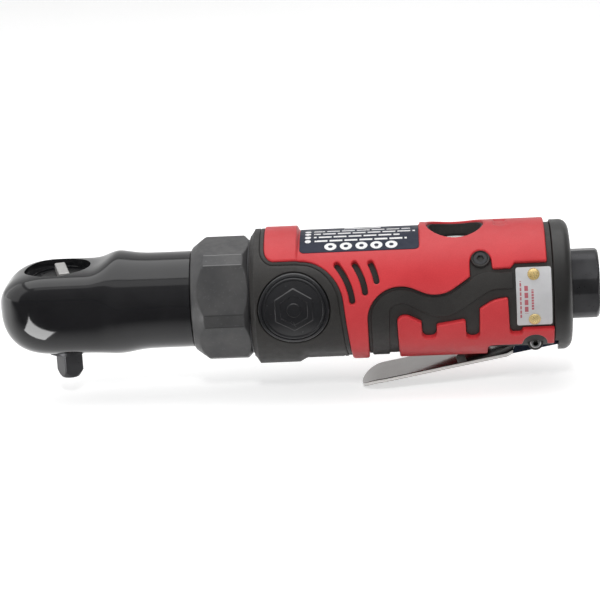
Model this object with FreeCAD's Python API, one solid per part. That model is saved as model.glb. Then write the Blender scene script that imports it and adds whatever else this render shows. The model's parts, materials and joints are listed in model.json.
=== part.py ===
import FreeCAD, Part
import math
import os

# Straight air ratchet with a quarter-inch square drive.
# Origin: where the axis of the square drive crosses the long axis of the tool.
# +X runs back to the air inlet, +Z is away from the square drive. Millimetres throughout.

V = FreeCAD.Vector
LONG_AXIS = V(1, 0, 0)
SIDE_AXIS = V(0, 1, 0)
UP_AXIS = V(0, 0, 1)

# ---------------------------------------------------------------- driving dimensions
DRIVE_SQUARE = 6.35         # across flats of the square drive
DRIVE_END_Z = -23.6
DRIVE_TURN = 56.0           # turn of the square about Z, degrees
JOURNAL_R = 6.5             # lower anvil journal
ANVIL_R = 7.9               # pawl carrier part of the anvil
UPPER_JOURNAL_R = 7.0
KNOB_TURN = 14.0            # rest direction of the reverse bar off the side axis, degrees

HEAD_NOSE_X = -19.9
HEAD_HALF_WIDTH = 15.8
HEAD_TOP = 12.4
HEAD_BOTTOM = 14.9
NECK_R = 15.0
NECK_END_X = 40.6
DISH_R = 10.0               # recess round the reverse bar
DISH_X = -1.85
DISH_FLOOR_Z = 9.6

YOKE_R = 11.0
YOKE_HALF_Z = 4.5
YOKE_TEETH = 60
YOKE_TIP_R = 8.45
YOKE_ROOT_R = 8.9
YOKE_ROOM = 0.1             # gap above and below the yoke
CRANK_THROW = 1.0
WEB_R = 5.0                 # crank web between the eccentric pin and the journal

GEAR_MODULE = 0.6
SUN_TEETH = 12
PLANET_TEETH = 15
RING_TEETH = 42
PLANET_COUNT = 3
PRESSURE_ANGLE = math.radians(20)
GEAR_SLACK = 0.08           # tooth thinning at the pitch circle
GEAR_X0 = 41.4
GEAR_X1 = 47.9

NUT_X0 = 41.0
NUT_X1 = 58.8
NUT_ACROSS_FLATS = 35.0
NUT_CORNER_FLATS = 38.1     # across the six narrow corner flats
NUT_TURN = 23.9             # direction of one wide flat above the near side, degrees

HOUSING_X0 = 49.5
HOUSING_X1 = 153.0
HOUSING_R = 17.2
HOUSING_BORE_R = 14.0
THREAD_R = 15.4
MOTOR_X0 = 58.0
MOTOR_X1 = 98.0
REAR_PLATE_X1 = 106.0
ROTOR_R = 10.7
LINER_BORE_R = 12.0
LINER_OFFSET = 1.2          # liner bore lies this far below the rotor axis
VANE_COUNT = 5
SHAFT_R = 2.97

SLEEVE_X0 = 59.5
SLEEVE_X1 = 151.8
SLEEVE_IN_R = 17.25
SLEEVE_CORE_R = 18.9
SLEEVE_FACE_R = 19.6        # exposed black face between the red parts
BAND_R = 20.0               # raised wave of the black sleeve
COLLAR_R = 21.0
COLLAR_X1 = 74.7
SHELL_IN_R = 18.95
SHELL_R = 21.0
SHELL_X0 = 64.1
SHELL_X1 = 150.0
SHELL_TAB_X1 = 151.8
LABEL_X0 = 75.0
LABEL_X1 = 111.8
LABEL_HALF_ANGLE = 26.7     # about the top of the label's own cylinder, degrees
LABEL_FLOOR_R = 19.6
LABEL_SWEEP_R = 28.6        # the label lies on a cylinder whose axis is below the long axis
LABEL_DROP = LABEL_SWEEP_R - LABEL_FLOOR_R
WINDOW_R = 8.8              # round opening in the red shell over the valve plug
WINDOW_IN_R = 8.15          # inside of the sleeve's liner in that opening
PLUG_Z = 15.0               # top of the valve plug
EMBLEM_X = 72.8
EMBLEM_Z = 1.2
EMBLEM_R = 10.85
SCREW_X = 130.0
SCREW_ANGLE = 42.5          # of both grip screws, above the side axis, degrees
BOSS_R = 2.95               # raised ring of the sleeve round each grip screw
RIVET_X = 145.8
RIVET_ANGLES = (26.3, -14.4)
RIVET_SHANK_R = 0.8
PLATE_OUT_R = 19.95

VALVE_X = 122.8
STEM_R = 1.42
STEM_END_Z = -21.5          # rests just above the released lever

PIVOT_X = 146.2
PIVOT_Z = -15.0
PIN_R = 1.7
PIN_HALF_Y = 12.4
LEVER_ANGLE = 10.26
LEVER_HALF_WIDTH = 8.5
LEVER_THICKNESS = 1.25
LEVER_DROP = 2.44           # plate's top face below the pivot when square to it
SLEEVE_SLOT_HALF = 8.9      # half width of the lever slot in the sleeve
SHELL_SLOT_HALF = 9.7       # and in the red shell

CAP_X1 = 157.9
CAP_R = 20.2
CAP_FACE_R = 17.2            # where the rounded rim meets the domed end face
BUSHING_X1 = 166.5
BUSHING_X0 = 158.0
BUSHING_FLATS = 21.0
BUSHING_ROUND_R = 11.1      # the bar's corners are turned down to this radius
BUSHING_TURN = -19.5
INLET_BORE_R = 5.72         # G1/4 internal thread, minor radius
FILTER_R = 5.2

CLEAR = 0.05                # radial running clearance


# ---------------------------------------------------------------- small helpers
def rod_x(radius, x0, x1, y=0.0, z=0.0):
    return Part.makeCylinder(radius, x1 - x0, V(x0, y, z), LONG_AXIS)


def rod_y(radius, y0, y1, x, z):
    return Part.makeCylinder(radius, y1 - y0, V(x, y0, z), SIDE_AXIS)


def rod_z(radius, z0, z1, x=0.0, y=0.0):
    return Part.makeCylinder(radius, z1 - z0, V(x, y, z0), UP_AXIS)


def tube_x(outer, inner, x0, x1):
    return rod_x(outer, x0, x1).cut(rod_x(inner, x0 - 1, x1 + 1))


def tube_z(outer, inner, z0, z1):
    return rod_z(outer, z0, z1).cut(rod_z(inner, z0 - 1, z1 + 1))


def block(x0, x1, y0, y1, z0, z1):
    return Part.makeBox(x1 - x0, y1 - y0, z1 - z0, V(x0, y0, z0))


def around_x(shape, angle):
    turned = shape.copy()
    turned.rotate(V(0, 0, 0), LONG_AXIS, angle)
    return turned


def around_z(shape, angle):
    turned = shape.copy()
    turned.rotate(V(0, 0, 0), UP_AXIS, angle)
    return turned


def other_side(shape):
    """The same shape on the far side of the tool."""
    return shape.mirror(V(0, 0, 0), SIDE_AXIS)


def turned_x(profile):
    """Solid of revolution about X from a closed polygon of (x, radius)."""
    points = [V(x, 0, radius) for x, radius in profile]
    face = Part.Face(Part.makePolygon(points + points[:1]))
    return face.revolve(V(0, 0, 0), LONG_AXIS, 360)


def turned_z(profile, x=0.0, y=0.0):
    """Solid of revolution about a vertical axis from a closed polygon of (radius, z)."""
    points = [V(x + radius, y, z) for radius, z in profile]
    face = Part.Face(Part.makePolygon(points + points[:1]))
    return face.revolve(V(x, y, 0), UP_AXIS, 360)


def hex_prism_x(across_flats, x0, x1, turn):
    """Hexagonal bar along X with one flat facing the given direction above the near side."""
    corner = across_flats / 2 / math.cos(math.pi / 6)
    points = []
    for index in range(6):
        angle = math.radians(turn + 30 + 60 * index)
        points.append(V(x0, -corner * math.cos(angle), corner * math.sin(angle)))
    face = Part.Face(Part.makePolygon(points + points[:1]))
    return face.extrude(V(x1 - x0, 0, 0))


def rounded_face(corners, place):
    """Face inside a polygon of (u, v, corner radius); place maps (u, v) to a point in space."""
    count = len(corners)
    joins = []
    for index, (u, v, radius) in enumerate(corners):
        before = corners[index - 1]
        after = corners[(index + 1) % count]
        corner = V(u, v, 0)
        to_before = V(before[0] - u, before[1] - v, 0).normalize()
        to_after = V(after[0] - u, after[1] - v, 0).normalize()
        half = to_before.getAngle(to_after) / 2
        start = corner + to_before * (radius / math.tan(half))
        end = corner + to_after * (radius / math.tan(half))
        inward = (to_before + to_after).normalize()
        middle = corner + inward * (radius / math.sin(half) - radius)
        joins.append((start, middle, end))
    edges = []
    for index, (start, middle, end) in enumerate(joins):
        if corners[index][2] > 0:
            arc = Part.Arc(place(start.x, start.y), place(middle.x, middle.y), place(end.x, end.y))
            edges.append(arc.toShape())
        following = joins[(index + 1) % count][0]
        if (following - end).Length > 1e-6:
            edges.append(Part.makeLine(place(end.x, end.y), place(following.x, following.y)))
    return Part.Face(Part.Wire(edges))


def side_prism(corners, y0, y1):
    """Prism along Y whose outline (x, z, corner radius) is seen from the side."""
    face = rounded_face(corners, lambda u, v: V(u, y0, v))
    return face.extrude(V(0, y1 - y0, 0))


def plan_prism(corners, z0, z1):
    """Prism along Z whose outline (x, y, corner radius) is seen from above."""
    face = rounded_face(corners, lambda u, v: V(u, v, z0))
    return face.extrude(V(0, 0, z1 - z0))


def arc_slot(start, middle, end, width, y0, y1):
    """Curved slot with round ends, seen from the side: a band about an arc of (x, z) points."""
    path = Part.Arc(V(start[0], y0, start[1]), V(middle[0], y0, middle[1]), V(end[0], y0, end[1]))
    circle = path.toShape().Curve
    centre = circle.Center
    first = V(start[0], y0, start[1]) - centre
    centre_line = V(middle[0], y0, middle[1]) - centre
    last = V(end[0], y0, end[1]) - centre
    wide = 1 + width / 2 / circle.Radius
    thin = 1 - width / 2 / circle.Radius
    before = (first - last).normalize() * (width / 2)
    edges = [
        Part.Arc(centre + first * wide, centre + centre_line * wide, centre + last * wide).toShape(),
        Part.Arc(centre + last * wide, centre + last - before, centre + last * thin).toShape(),
        Part.Arc(centre + last * thin, centre + centre_line * thin, centre + first * thin).toShape(),
        Part.Arc(centre + first * thin, centre + first + before, centre + first * wide).toShape(),
    ]
    return Part.Face(Part.Wire(edges)).extrude(V(0, y1 - y0, 0))


def ease(value):
    """Smooth step from 0 to 1."""
    bounded = max(0.0, min(1.0, value))
    return bounded * bounded * (3 - 2 * bounded)


def mix(first, second, share):
    return first + (second - first) * share


# ---------------------------------------------------------------- involute teeth
def involute(angle):
    return math.tan(angle) - angle


def gear_face(teeth, tip_radius, root_radius, thinning, x):
    """Outline of a spur gear about X; a tooth is centred on +Z. Negative thinning fattens it."""
    pitch_radius = GEAR_MODULE * teeth / 2
    base_radius = pitch_radius * math.cos(PRESSURE_ANGLE)
    pitch_half = math.pi / 2 / teeth - thinning / 2 / pitch_radius
    start_radius = max(base_radius * 1.0005, root_radius)

    def point(radius, angle):
        return V(x, radius * math.sin(angle), radius * math.cos(angle))

    def half_angle(radius):
        pressure = math.acos(base_radius / radius)
        return pitch_half + involute(PRESSURE_ANGLE) - involute(pressure)

    steps = [start_radius + (tip_radius - start_radius) * share for share in (0, 0.15, 0.5, 1)]
    edges = []
    pitch = 2 * math.pi / teeth
    for index in range(teeth):
        centre = index * pitch
        rising = [point(radius, centre - half_angle(radius)) for radius in steps]
        falling = [point(radius, centre + half_angle(radius)) for radius in reversed(steps)]
        root_half = half_angle(start_radius)
        if root_radius < start_radius - 1e-6:
            edges.append(Part.makeLine(point(root_radius, centre - root_half), rising[0]))
        flank = Part.BSplineCurve()
        flank.interpolate(rising)
        edges.append(flank.toShape())
        edges.append(Part.Arc(rising[-1], point(tip_radius, centre), falling[0]).toShape())
        flank = Part.BSplineCurve()
        flank.interpolate(falling)
        edges.append(flank.toShape())
        if root_radius < start_radius - 1e-6:
            edges.append(Part.makeLine(falling[-1], point(root_radius, centre + root_half)))
        gap_middle = point(root_radius, centre + pitch / 2)
        gap_start = point(root_radius, centre + root_half)
        gap_end = point(root_radius, centre + pitch - root_half)
        edges.append(Part.Arc(gap_start, gap_middle, gap_end).toShape())
    return Part.Face(Part.Wire(edges))


def gear(teeth, tip_radius, root_radius, thinning, x0, x1):
    return gear_face(teeth, tip_radius, root_radius, thinning, x0).extrude(V(x1 - x0, 0, 0))


# ---------------------------------------------------------------- ratchet head
def head_section(x):
    """Points of the head's outline across X, from the bottom round: a squircle that turns round."""
    to_neck = ease((x - 8.5) / 10.0)
    bulge = 1.1 * math.exp(-((x - 17.5) / 5.5) ** 2)
    nose = 1.0
    if x < 0:
        nose = (1 - (x / HEAD_NOSE_X) ** 3) ** (1 / 2.2)
    width = mix(HEAD_HALF_WIDTH, NECK_R, ease((x - 8) / 20)) * nose + bulge * to_neck
    top = mix(HEAD_TOP, NECK_R, to_neck) * nose + bulge * to_neck
    bottom = mix(HEAD_BOTTOM, NECK_R, to_neck) * nose + bulge
    points = []
    steps = 40
    for index in range(steps + 1):
        angle = 2 * math.pi * index / steps - math.pi / 2
        across = abs(math.cos(angle)) / width
        if math.sin(angle) >= 0:
            height = math.sin(angle) / top
            power = mix(4.0, 2.0, to_neck)
        else:
            height = -math.sin(angle) / bottom
            power = mix(2.6, 2.0, to_neck)
        reach = (across ** power + height ** power) ** (-1 / power)
        points.append(V(x, reach * math.cos(angle), reach * math.sin(angle)))
    points[-1] = points[0]
    return points


def head_blank():
    """Solid head and neck: one smooth skin through the sections, closed by two flat ends."""
    count = 44
    first_x = HEAD_NOSE_X + 0.12
    stations = []
    for index in range(count + 1):
        share = index / count
        stations.append(first_x + (NECK_END_X - first_x) * share * mix(0.15, 1, share))
    skin = Part.BSplineSurface()
    skin.interpolate([head_section(x) for x in stations])
    side = skin.toShape()
    ends = []
    for x in (stations[0], stations[-1]):
        flat_edges = [edge for edge in side.Edges if edge.BoundBox.XLength < 0.01]
        rim = [edge for edge in flat_edges if abs(edge.BoundBox.XMin - x) < 0.01]
        ends.append(Part.Face(Part.Wire(rim)))
    shell = Part.Shell([side] + ends)
    shell.sewShape()
    blank = Part.Solid(Part.Shell(shell.Faces))
    if blank.Volume < 0:
        blank.reverse()
    return blank


def head_housing():
    body = head_blank()
    body = body.cut(rod_z(DISH_R, DISH_FLOOR_Z, 20, DISH_X))
    body = body.cut(rod_z(9.0, YOKE_HALF_Z, 12))
    body = body.cut(rod_z(9.6, 8.0, 9.0))
    body = body.cut(rod_z(JOURNAL_R + CLEAR, -20, 0))
    room_r = YOKE_R + 0.3
    room_z = YOKE_HALF_Z + YOKE_ROOM
    swing_room = rod_z(room_r, -room_z, room_z).fuse(block(0, 21, -room_r, room_r, -room_z, room_z))
    body = body.cut(swing_room).cut(rod_x(WEB_R + 0.3, 18, 21))
    body = body.cut(rod_x(12.17, 20.6, NECK_END_X + 1))
    return body


def cover_plate():
    """Thrust plate that holds the anvil down."""
    return tube_z(8.95, UPPER_JOURNAL_R + CLEAR, 5.0, 7.9)


def thrust_washer():
    return tube_z(8.9, UPPER_JOURNAL_R + 0.1, 4.6, 4.95)


def retaining_ring():
    """Internal circlip with eyes at its gap, which faces the nose."""
    ring = tube_z(9.55, 7.9, 8.05, 8.95)
    ring = ring.cut(block(-12, 0, -1.7, 1.7, 7, 10))
    for side in (-1, 1):
        eye = rod_z(1.15, 8.05, 8.95, -7.6, side * 2.9)
        ring = ring.fuse(eye).cut(rod_z(0.5, 7, 10, -7.6, side * 2.9))
    return ring.removeSplitter()


def yoke():
    """Rocking ring with internal ratchet teeth and a fork for the crank bush."""
    ring = rod_z(YOKE_R, -YOKE_HALF_Z, YOKE_HALF_Z)
    arm = plan_prism([(4, -8.2, 0), (18.2, -7.0, 1.5), (18.2, 7.0, 1.5), (4, 8.2, 0)],
                     -YOKE_HALF_Z, YOKE_HALF_Z)
    body = ring.fuse(arm)
    points = []
    for index in range(YOKE_TEETH):
        pitch = 2 * math.pi / YOKE_TEETH
        for radius, share in ((YOKE_TIP_R, 0.1), (YOKE_ROOT_R, 0.4), (YOKE_ROOT_R, 0.6), (YOKE_TIP_R, 0.9)):
            angle = (index + share) * pitch
            points.append(V(radius * math.cos(angle), radius * math.sin(angle), -6))
    teeth = Part.Face(Part.makePolygon(points + points[:1])).extrude(V(0, 0, 12))
    slot = plan_prism([(12.6, -4.8, 2), (20, -4.8, 0), (20, 4.8, 0), (12.6, 4.8, 2)], -6, 6)
    return body.cut(teeth).cut(slot).removeSplitter()


def pawl_pocket():
    return plan_prism([(-6.4, 3.1, 1.0), (6.4, 3.1, 1.0), (6.4, 9, 0), (-6.4, 9, 0)], -3.1, 3.1)


def anvil():
    """Pawl carrier, journals and the quarter-inch square drive in one piece."""
    carrier = rod_z(ANVIL_R, -YOKE_HALF_Z, YOKE_HALF_Z)
    lower = rod_z(JOURNAL_R, -15.3, -YOKE_HALF_Z)
    upper = rod_z(UPPER_JOURNAL_R, YOKE_HALF_Z, 8.0)
    half = DRIVE_SQUARE / 2
    square = block(-half, half, -half, half, DRIVE_END_Z, -15)
    corner_round = turned_z([(0, DRIVE_END_Z), (2.9, DRIVE_END_Z), (4.25, DRIVE_END_Z + 2.0), (4.25, -15),
                             (0, -15)])
    square = around_z(square.common(corner_round), -DRIVE_TURN)
    body = carrier.fuse(lower).fuse(upper).fuse(square)
    for turn in (0, 180):
        body = body.cut(around_z(pawl_pocket(), turn))
        body = body.cut(around_z(rod_z(0.9, -4.3, 4.3, 0, 5.3), turn))
    body = body.cut(rod_z(2.05, 2.0, 9))
    body = body.cut(rod_z(0.85, 4.6, 9, -5.0, 0))
    body = body.cut(socket_ball_hole())
    return body.removeSplitter()


def socket_ball_hole():
    """Blind hole in one drive face for the ball that holds a socket."""
    hole = rod_y(1.0, -4, 0, 0, -18.9)
    return around_z(hole, -DRIVE_TURN + 180)


def socket_ball():
    ball = Part.makeSphere(0.95, V(0, -2.75, -18.9))
    return around_z(ball, -DRIVE_TURN + 180)


def pawl(turn):
    """Rocking pawl with a tip at each end, shown tilted to its forward engagement."""
    outline = [(-4.9, 4.6, 0.6), (-2.2, 3.6, 1.5), (2.2, 3.6, 1.5), (4.9, 4.6, 0.6), (4.5, 6.25, 0.3),
               (1.6, 7.2, 1.2), (-1.6, 7.2, 1.2), (-4.5, 6.25, 0.3)]
    shape = plan_prism(outline, -3.0, 3.0)
    shape = shape.cut(rod_z(0.95, -4, 4, 0, 5.3))
    shape.rotate(V(0, 5.3, 0), UP_AXIS, 12)
    return around_z(shape, turn)


def pawl_pins():
    pin = rod_z(0.9, -4.3, 4.3, 0, 5.3)
    return Part.makeCompound([pin, around_z(pin, 180)])


def reverse_knob():
    """Disc with a grip bar; its shaft sits in the top of the anvil."""
    disc = rod_z(6.6, 8.1, 9.3)
    shaft = rod_z(2.0, 2.3, 8.2)
    bar = block(-1.65, 1.65, -6.2, 6.2, 9.2, 11.8)
    bar = bar.makeChamfer(0.3, [edge for edge in bar.Edges if edge.BoundBox.ZMin > 11.7])
    return disc.fuse(shaft).fuse(around_z(bar, KNOB_TURN)).removeSplitter()


def detent_ball():
    return Part.makeSphere(0.8, V(-5.0, 0, 7.2))


def coil(radius, wire, z0, z1, turns, x=0.0, y=0.0):
    """Closed spring body: a wire swept round a helix."""
    height = z1 - z0 - wire
    helix = Part.makeHelix(height / turns, height, radius)
    ring = Part.Wire(Part.makeCircle(wire / 2, V(radius, 0, 0), SIDE_AXIS))
    spring = helix.makePipeShell([ring], True, True)
    spring.translate(V(x, y, z0 + wire / 2))
    return spring


def detent_spring():
    return coil(0.6, 0.25, 4.65, 6.38, 4, -5.0, 0)


# ---------------------------------------------------------------- crank and planetary set
def crankshaft():
    """Eccentric pin, bearing journal and planet carrier disc in one piece."""
    pin = rod_x(1.9, 14.0, 18.7, 0, CRANK_THROW)
    web = rod_x(WEB_R, 18.6, 20.7)
    journal = rod_x(4.98, 20.7, 38.6)
    disc = rod_x(11.2, 38.5, 41.0)
    body = pin.fuse(web).fuse(journal).fuse(disc)
    for index in range(PLANET_COUNT):
        body = body.cut(around_x(planet_pin(), index * 360 / PLANET_COUNT))
    return body.removeSplitter()


def planet_centre():
    return GEAR_MODULE * (SUN_TEETH + PLANET_TEETH) / 2


def planet_pin():
    return rod_x(1.4, 39.2, 48.2, 0, planet_centre())


def planet_pins():
    pins = [around_x(planet_pin(), index * 360 / PLANET_COUNT) for index in range(PLANET_COUNT)]
    return Part.makeCompound(pins)


def crank_bush():
    bush = rod_x(2.6, 14.2, 18.0, 0, CRANK_THROW)
    return bush.cut(rod_x(1.93, 14, 19, 0, CRANK_THROW))


def needle_bearing():
    """Drawn cup with its ring of needles, as separate solids."""
    cup = tube_x(9.0, 7.66, 24.0, 36.0)
    solids = [cup]
    count = 14
    for index in range(count):
        solids.append(around_x(rod_x(1.31, 24.6, 35.4, 0, 6.33), index * 360 / count))
    return Part.makeCompound(solids)


def ring_gear():
    """Internal gear whose nose screws into the neck and carries the needle bearing."""
    profile = [(21.5, 9.02), (21.5, 12.12), (NECK_END_X + 0.3, 12.12),
               (NECK_END_X + 0.3, 14.0), (43.4, 14.0), (43.4, 15.0),
               (49.2, 15.0), (49.2, 11.0), (41.2, 11.0), (41.2, 11.6), (38.2, 11.6), (38.2, 9.02)]
    pitch_radius = GEAR_MODULE * RING_TEETH / 2
    space = gear(RING_TEETH, pitch_radius + 0.75, 12.18, -GEAR_SLACK, 41.2, 50)
    body = turned_x(profile).cut(rod_x(12.18, 41.2, 50))
    return body.cut(space).removeSplitter()


def planet(index):
    pitch_radius = GEAR_MODULE * PLANET_TEETH / 2
    wheel = gear(PLANET_TEETH, pitch_radius + 0.5, pitch_radius - 0.75, GEAR_SLACK, GEAR_X0, GEAR_X1)
    wheel = wheel.cut(rod_x(1.45, GEAR_X0 - 1, GEAR_X1 + 1))
    wheel.translate(V(0, 0, planet_centre()))
    return around_x(wheel, index * 360 / PLANET_COUNT)


# ---------------------------------------------------------------- air motor
def ball_bearing(x0, x1):
    """Deep-groove bearing: two rings and eight balls."""
    middle = (x0 + x1) / 2
    groove = Part.makeTorus(5.6, 1.15, V(middle, 0, 0), LONG_AXIS)
    inner = tube_x(4.9, SHAFT_R + 0.03, x0, x1).cut(groove)
    outer = tube_x(7.97, 6.3, x0, x1).cut(groove)
    solids = [inner, outer]
    count = 8
    for index in range(count):
        ball = Part.makeSphere(1.1, V(middle, 0, 5.6))
        solids.append(around_x(ball, index * 360 / count))
    return Part.makeCompound(solids)


def front_end_plate():
    plate = rod_x(13.95, HOUSING_X0 + 0.1, MOTOR_X0 - 0.05)
    plate = plate.cut(rod_x(8.0, 48, 54.6)).cut(rod_x(4.2, 48, 60))
    return plate.cut(dowel_hole(0.8))


def rear_end_plate():
    plate = rod_x(13.95, MOTOR_X1 + 0.05, REAR_PLATE_X1 - 0.05)
    plate = plate.cut(rod_x(8.0, 99.6, 104.4)).cut(rod_x(4.2, 97, 104.4))
    plate = plate.cut(rod_x(2.4, 97, 110, 0, -9.8))
    return plate.cut(dowel_hole(0.8))


def dowel_hole(radius):
    return rod_x(radius, 54, 103, 0, 12.55)


def dowel_pin():
    return rod_x(0.77, 54.2, 102.8, 0, 12.55)


def cylinder_liner():
    """Cylinder of the vane motor: its bore is off-centre, with exhaust ports at both sides."""
    liner = rod_x(13.95, MOTOR_X0, MOTOR_X1)
    liner = liner.cut(rod_x(LINER_BORE_R, MOTOR_X0 - 1, MOTOR_X1 + 1, 0, -LINER_OFFSET))
    for index in range(5):
        x = MOTOR_X0 + 8 + index * 6
        liner = liner.cut(rod_y(1.3, -20, 20, x, 1.0))
    return liner.cut(dowel_hole(0.8))


def rotor():
    """Slotted rotor, its shaft ends and the sun pinion in one piece."""
    drum = rod_x(ROTOR_R, MOTOR_X0 + 0.15, MOTOR_X1 - 0.15)
    for index in range(VANE_COUNT):
        slot = block(MOTOR_X0 - 1, MOTOR_X1 + 1, -0.8, 0.8, 4.6, 12)
        drum = drum.cut(around_x(slot, index * 360 / VANE_COUNT))
    body = drum.fuse(rod_x(SHAFT_R, 48.2, 104.2))
    pitch_radius = GEAR_MODULE * SUN_TEETH / 2
    pinion = gear(SUN_TEETH, pitch_radius + 0.55, pitch_radius - 0.75, GEAR_SLACK, GEAR_X0 - 0.2, 48.3)
    return body.fuse(pinion).removeSplitter()


def rotor_vanes():
    vanes = []
    for index in range(VANE_COUNT):
        vane = block(MOTOR_X0 + 0.3, MOTOR_X1 - 0.3, -0.75, 0.75, 4.75, 10.5)
        vane = vane.makeFillet(0.6, [edge for edge in vane.Edges if edge.BoundBox.ZMin > 10.4
                                     and edge.BoundBox.XLength > 10])
        vanes.append(around_x(vane, index * 360 / VANE_COUNT))
    return Part.makeCompound(vanes)


# ---------------------------------------------------------------- clamp nut and motor housing
def clamp_nut():
    """Twelve-sided nut: six wide flats with six narrow flats on their corners."""
    wide = hex_prism_x(NUT_ACROSS_FLATS, NUT_X0, NUT_X1, NUT_TURN)
    narrow = hex_prism_x(NUT_CORNER_FLATS, NUT_X0, NUT_X1, NUT_TURN + 30)
    chamfers = turned_x([(NUT_X0, 0), (NUT_X0, 15.9), (45.6, 19.4), (57.0, 19.4), (NUT_X1, 17.4),
                         (NUT_X1, 0)])
    body = wide.common(narrow).common(chamfers)
    body = body.cut(rod_x(14.1, 40, 44)).cut(rod_x(15.1, 43.3, 50))
    return body.cut(rod_x(THREAD_R + 0.03, 49, 60)).removeSplitter()


def front_washer():
    return tube_x(17.7, THREAD_R + 0.08, 58.85, 59.25)


def lever_groove():
    return block(136.5, 156, 5.2, 7.0, -20, -11.2)


def screw_axis(shape, angle):
    """Turn a shape built along -Y to the given height angle on the near side."""
    return around_x(shape, -angle)


def motor_housing():
    """Metal body: motor bore, throttle valve bores, air passages and the lever pivot."""
    body = rod_x(THREAD_R, HOUSING_X0, 59.3)
    body = body.fuse(rod_x(HOUSING_R, 59.3, HOUSING_X1)).fuse(rod_x(9.8, HOUSING_X1 - 1, BUSHING_X0 - 0.1))
    body = body.cut(rod_x(HOUSING_BORE_R, 40, REAR_PLATE_X1))
    body = body.cut(rod_x(8.05, 146, 160))
    body = body.cut(rod_x(3.8, VALVE_X, 147, 0, 2.8))
    body = body.cut(rod_x(2.4, REAR_PLATE_X1 - 1, VALVE_X, 0, -9.5))
    body = body.cut(rod_z(5.5, -4.0, 20, VALVE_X)).cut(rod_z(7.45, PLUG_Z - 2.6, 20, VALVE_X))
    body = body.cut(rod_z(WINDOW_R, PLUG_Z - 0.2, 20, VALVE_X))
    body = body.cut(rod_z(3.6, -12, -3, VALVE_X)).cut(rod_z(2.6, -20, -11, VALVE_X))
    for side in (-1, 1):
        y0, y1 = sorted((side * 12.9, side * 15.6))
        body = body.cut(block(62, 110, y0, y1, -4, 4))
        for angle in (-25, 0, 25):
            body = body.cut(around_x(rod_x(2.0, REAR_PLATE_X1 + 1, 156, side * 12.2), angle))
    groove = lever_groove()
    screw = screw_axis(rod_y(1.5, -20, -13.4, SCREW_X, 0), SCREW_ANGLE)
    for cutter in (groove, other_side(groove), screw, other_side(screw)):
        body = body.cut(cutter)
    body = body.cut(rod_y(PIN_R, -20, 20, PIVOT_X, PIVOT_Z))
    return body.removeSplitter()


# ---------------------------------------------------------------- grip outlines, seen from the side
def front_black_prism():
    """Where the black collar shows ahead of the red strap."""
    outline = [(58, -30, 0), (58, 30, 0), (SHELL_X0, 30, 0), (SHELL_X0, 15.1, 3), (86.8, 15.1, 13),
               (91.0, -30, 0)]
    return side_prism(outline, -30, 30)


def side_window_prism():
    """Where the black sleeve shows between the upper and the lower red parts."""
    outline = [(95.1, -30, 0), (95.1, 12.6, 10.2), (117.0, 3.0, 10), (126.6, 9.2, 0.4),
               (126.7, 15.9, 3.1), (133.3, 15.9, 3.1), (133.4, 11.2, 0.6), (139.0, 11.3, 0.6),
               (140.3, 12.7, 0.6), (156, 12.7, 0), (156, -8.6, 0), (142.3, -8.6, 0.5),
               (141.6, -10.1, 0.9), (138.3, -10.1, 1.5), (137.8, 2.6, 0.5), (133.3, 1.9, 9),
               (129.2, -0.8, 0.8), (129.0, -11.1, 1.9), (125.0, -11.1, 1.9), (124.8, -4.4, 0.7),
               (116.0, -5.9, 0.7), (115.9, -10.4, 1.9), (111.6, -10.4, 1.9), (111.4, -4.6, 0.5),
               (107.3, -2.1, 3), (104.0, -2.3, 2.2), (104.6, -30, 0)]
    return side_prism(outline, -30, 30)


def band_prism():
    """Raised wave of the sleeve inside the side window."""
    outline = [(96.1, -30, 0), (96.1, 11.2, 9.3), (117.2, 2.1, 10.8), (129.6, 10.4, 9),
               (139.6, 10.2, 0), (139.6, 5.1, 0), (133.2, 5.3, 8), (118.0, -4.8, 9), (106.5, 2.0, 3.5),
               (101.9, 1.0, 2.5), (101.3, -30, 0)]
    return side_prism(outline, -30, 30)


def lower_trim():
    """Everything below the rear skirt of the red shell, and the arch round the lever pin."""
    skirt = side_prism([(131.5, -30, 0), (131.5, -14.4, 1.5), (160, -14.4, 0), (160, -30, 0)], -30, 30)
    return skirt.fuse(rod_y(3.75, -30, 30, PIVOT_X - 0.3, -14.3))


def lever_slot(half_width):
    return block(88.6, 160, -half_width, half_width, -30, 0)


def strap_slots():
    """Three slanted slots in the red strap, on both sides."""
    slots = [
        arc_slot((86.4, 13.6), (89.3, 9.0), (90.7, 3.2), 1.8, -30, 30),
        arc_slot((91.8, 13.7), (93.8, 9.9), (94.7, 5.8), 1.8, -30, 30),
        arc_slot((96.7, 13.7), (97.7, 11.4), (98.3, 9.0), 1.8, -30, 30),
    ]
    return slots[0].fuse(slots[1]).fuse(slots[2])


def screw_boss(radius, inner, outer):
    boss = screw_axis(rod_y(radius, -outer, -inner, SCREW_X, 0), SCREW_ANGLE)
    return boss.fuse(other_side(boss))


def emblem_disc(radius):
    return rod_y(radius, -30, 30, EMBLEM_X, EMBLEM_Z)


def red_solids():
    """All red parts: the upper shell with its strap, and a lower panel on each side."""
    body = tube_x(SHELL_R, SHELL_IN_R, SHELL_X0, SHELL_TAB_X1)
    body = body.fuse(tube_x(21.5, SHELL_IN_R, SHELL_X0, 74.4))
    rear_top = tube_x(23, 18, SHELL_X1, 152).common(block(149, 153, -30, 30, 0, 30))
    body = body.cut(front_black_prism()).cut(side_window_prism()).cut(rear_top)
    body = body.cut(lower_trim()).cut(lever_slot(SHELL_SLOT_HALF))
    label_recess = rod_x(25, 74.4, LABEL_X1).cut(lowered_rod(LABEL_SWEEP_R, 70, 115))
    body = body.cut(label_recess).cut(strap_slots())
    body = body.cut(rod_z(WINDOW_R, 0, 30, VALVE_X)).cut(screw_boss(BOSS_R + 0.05, 18, 25)).removeSplitter()
    return sorted(body.Solids, key=lambda solid: solid.BoundBox.ZMax)


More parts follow.
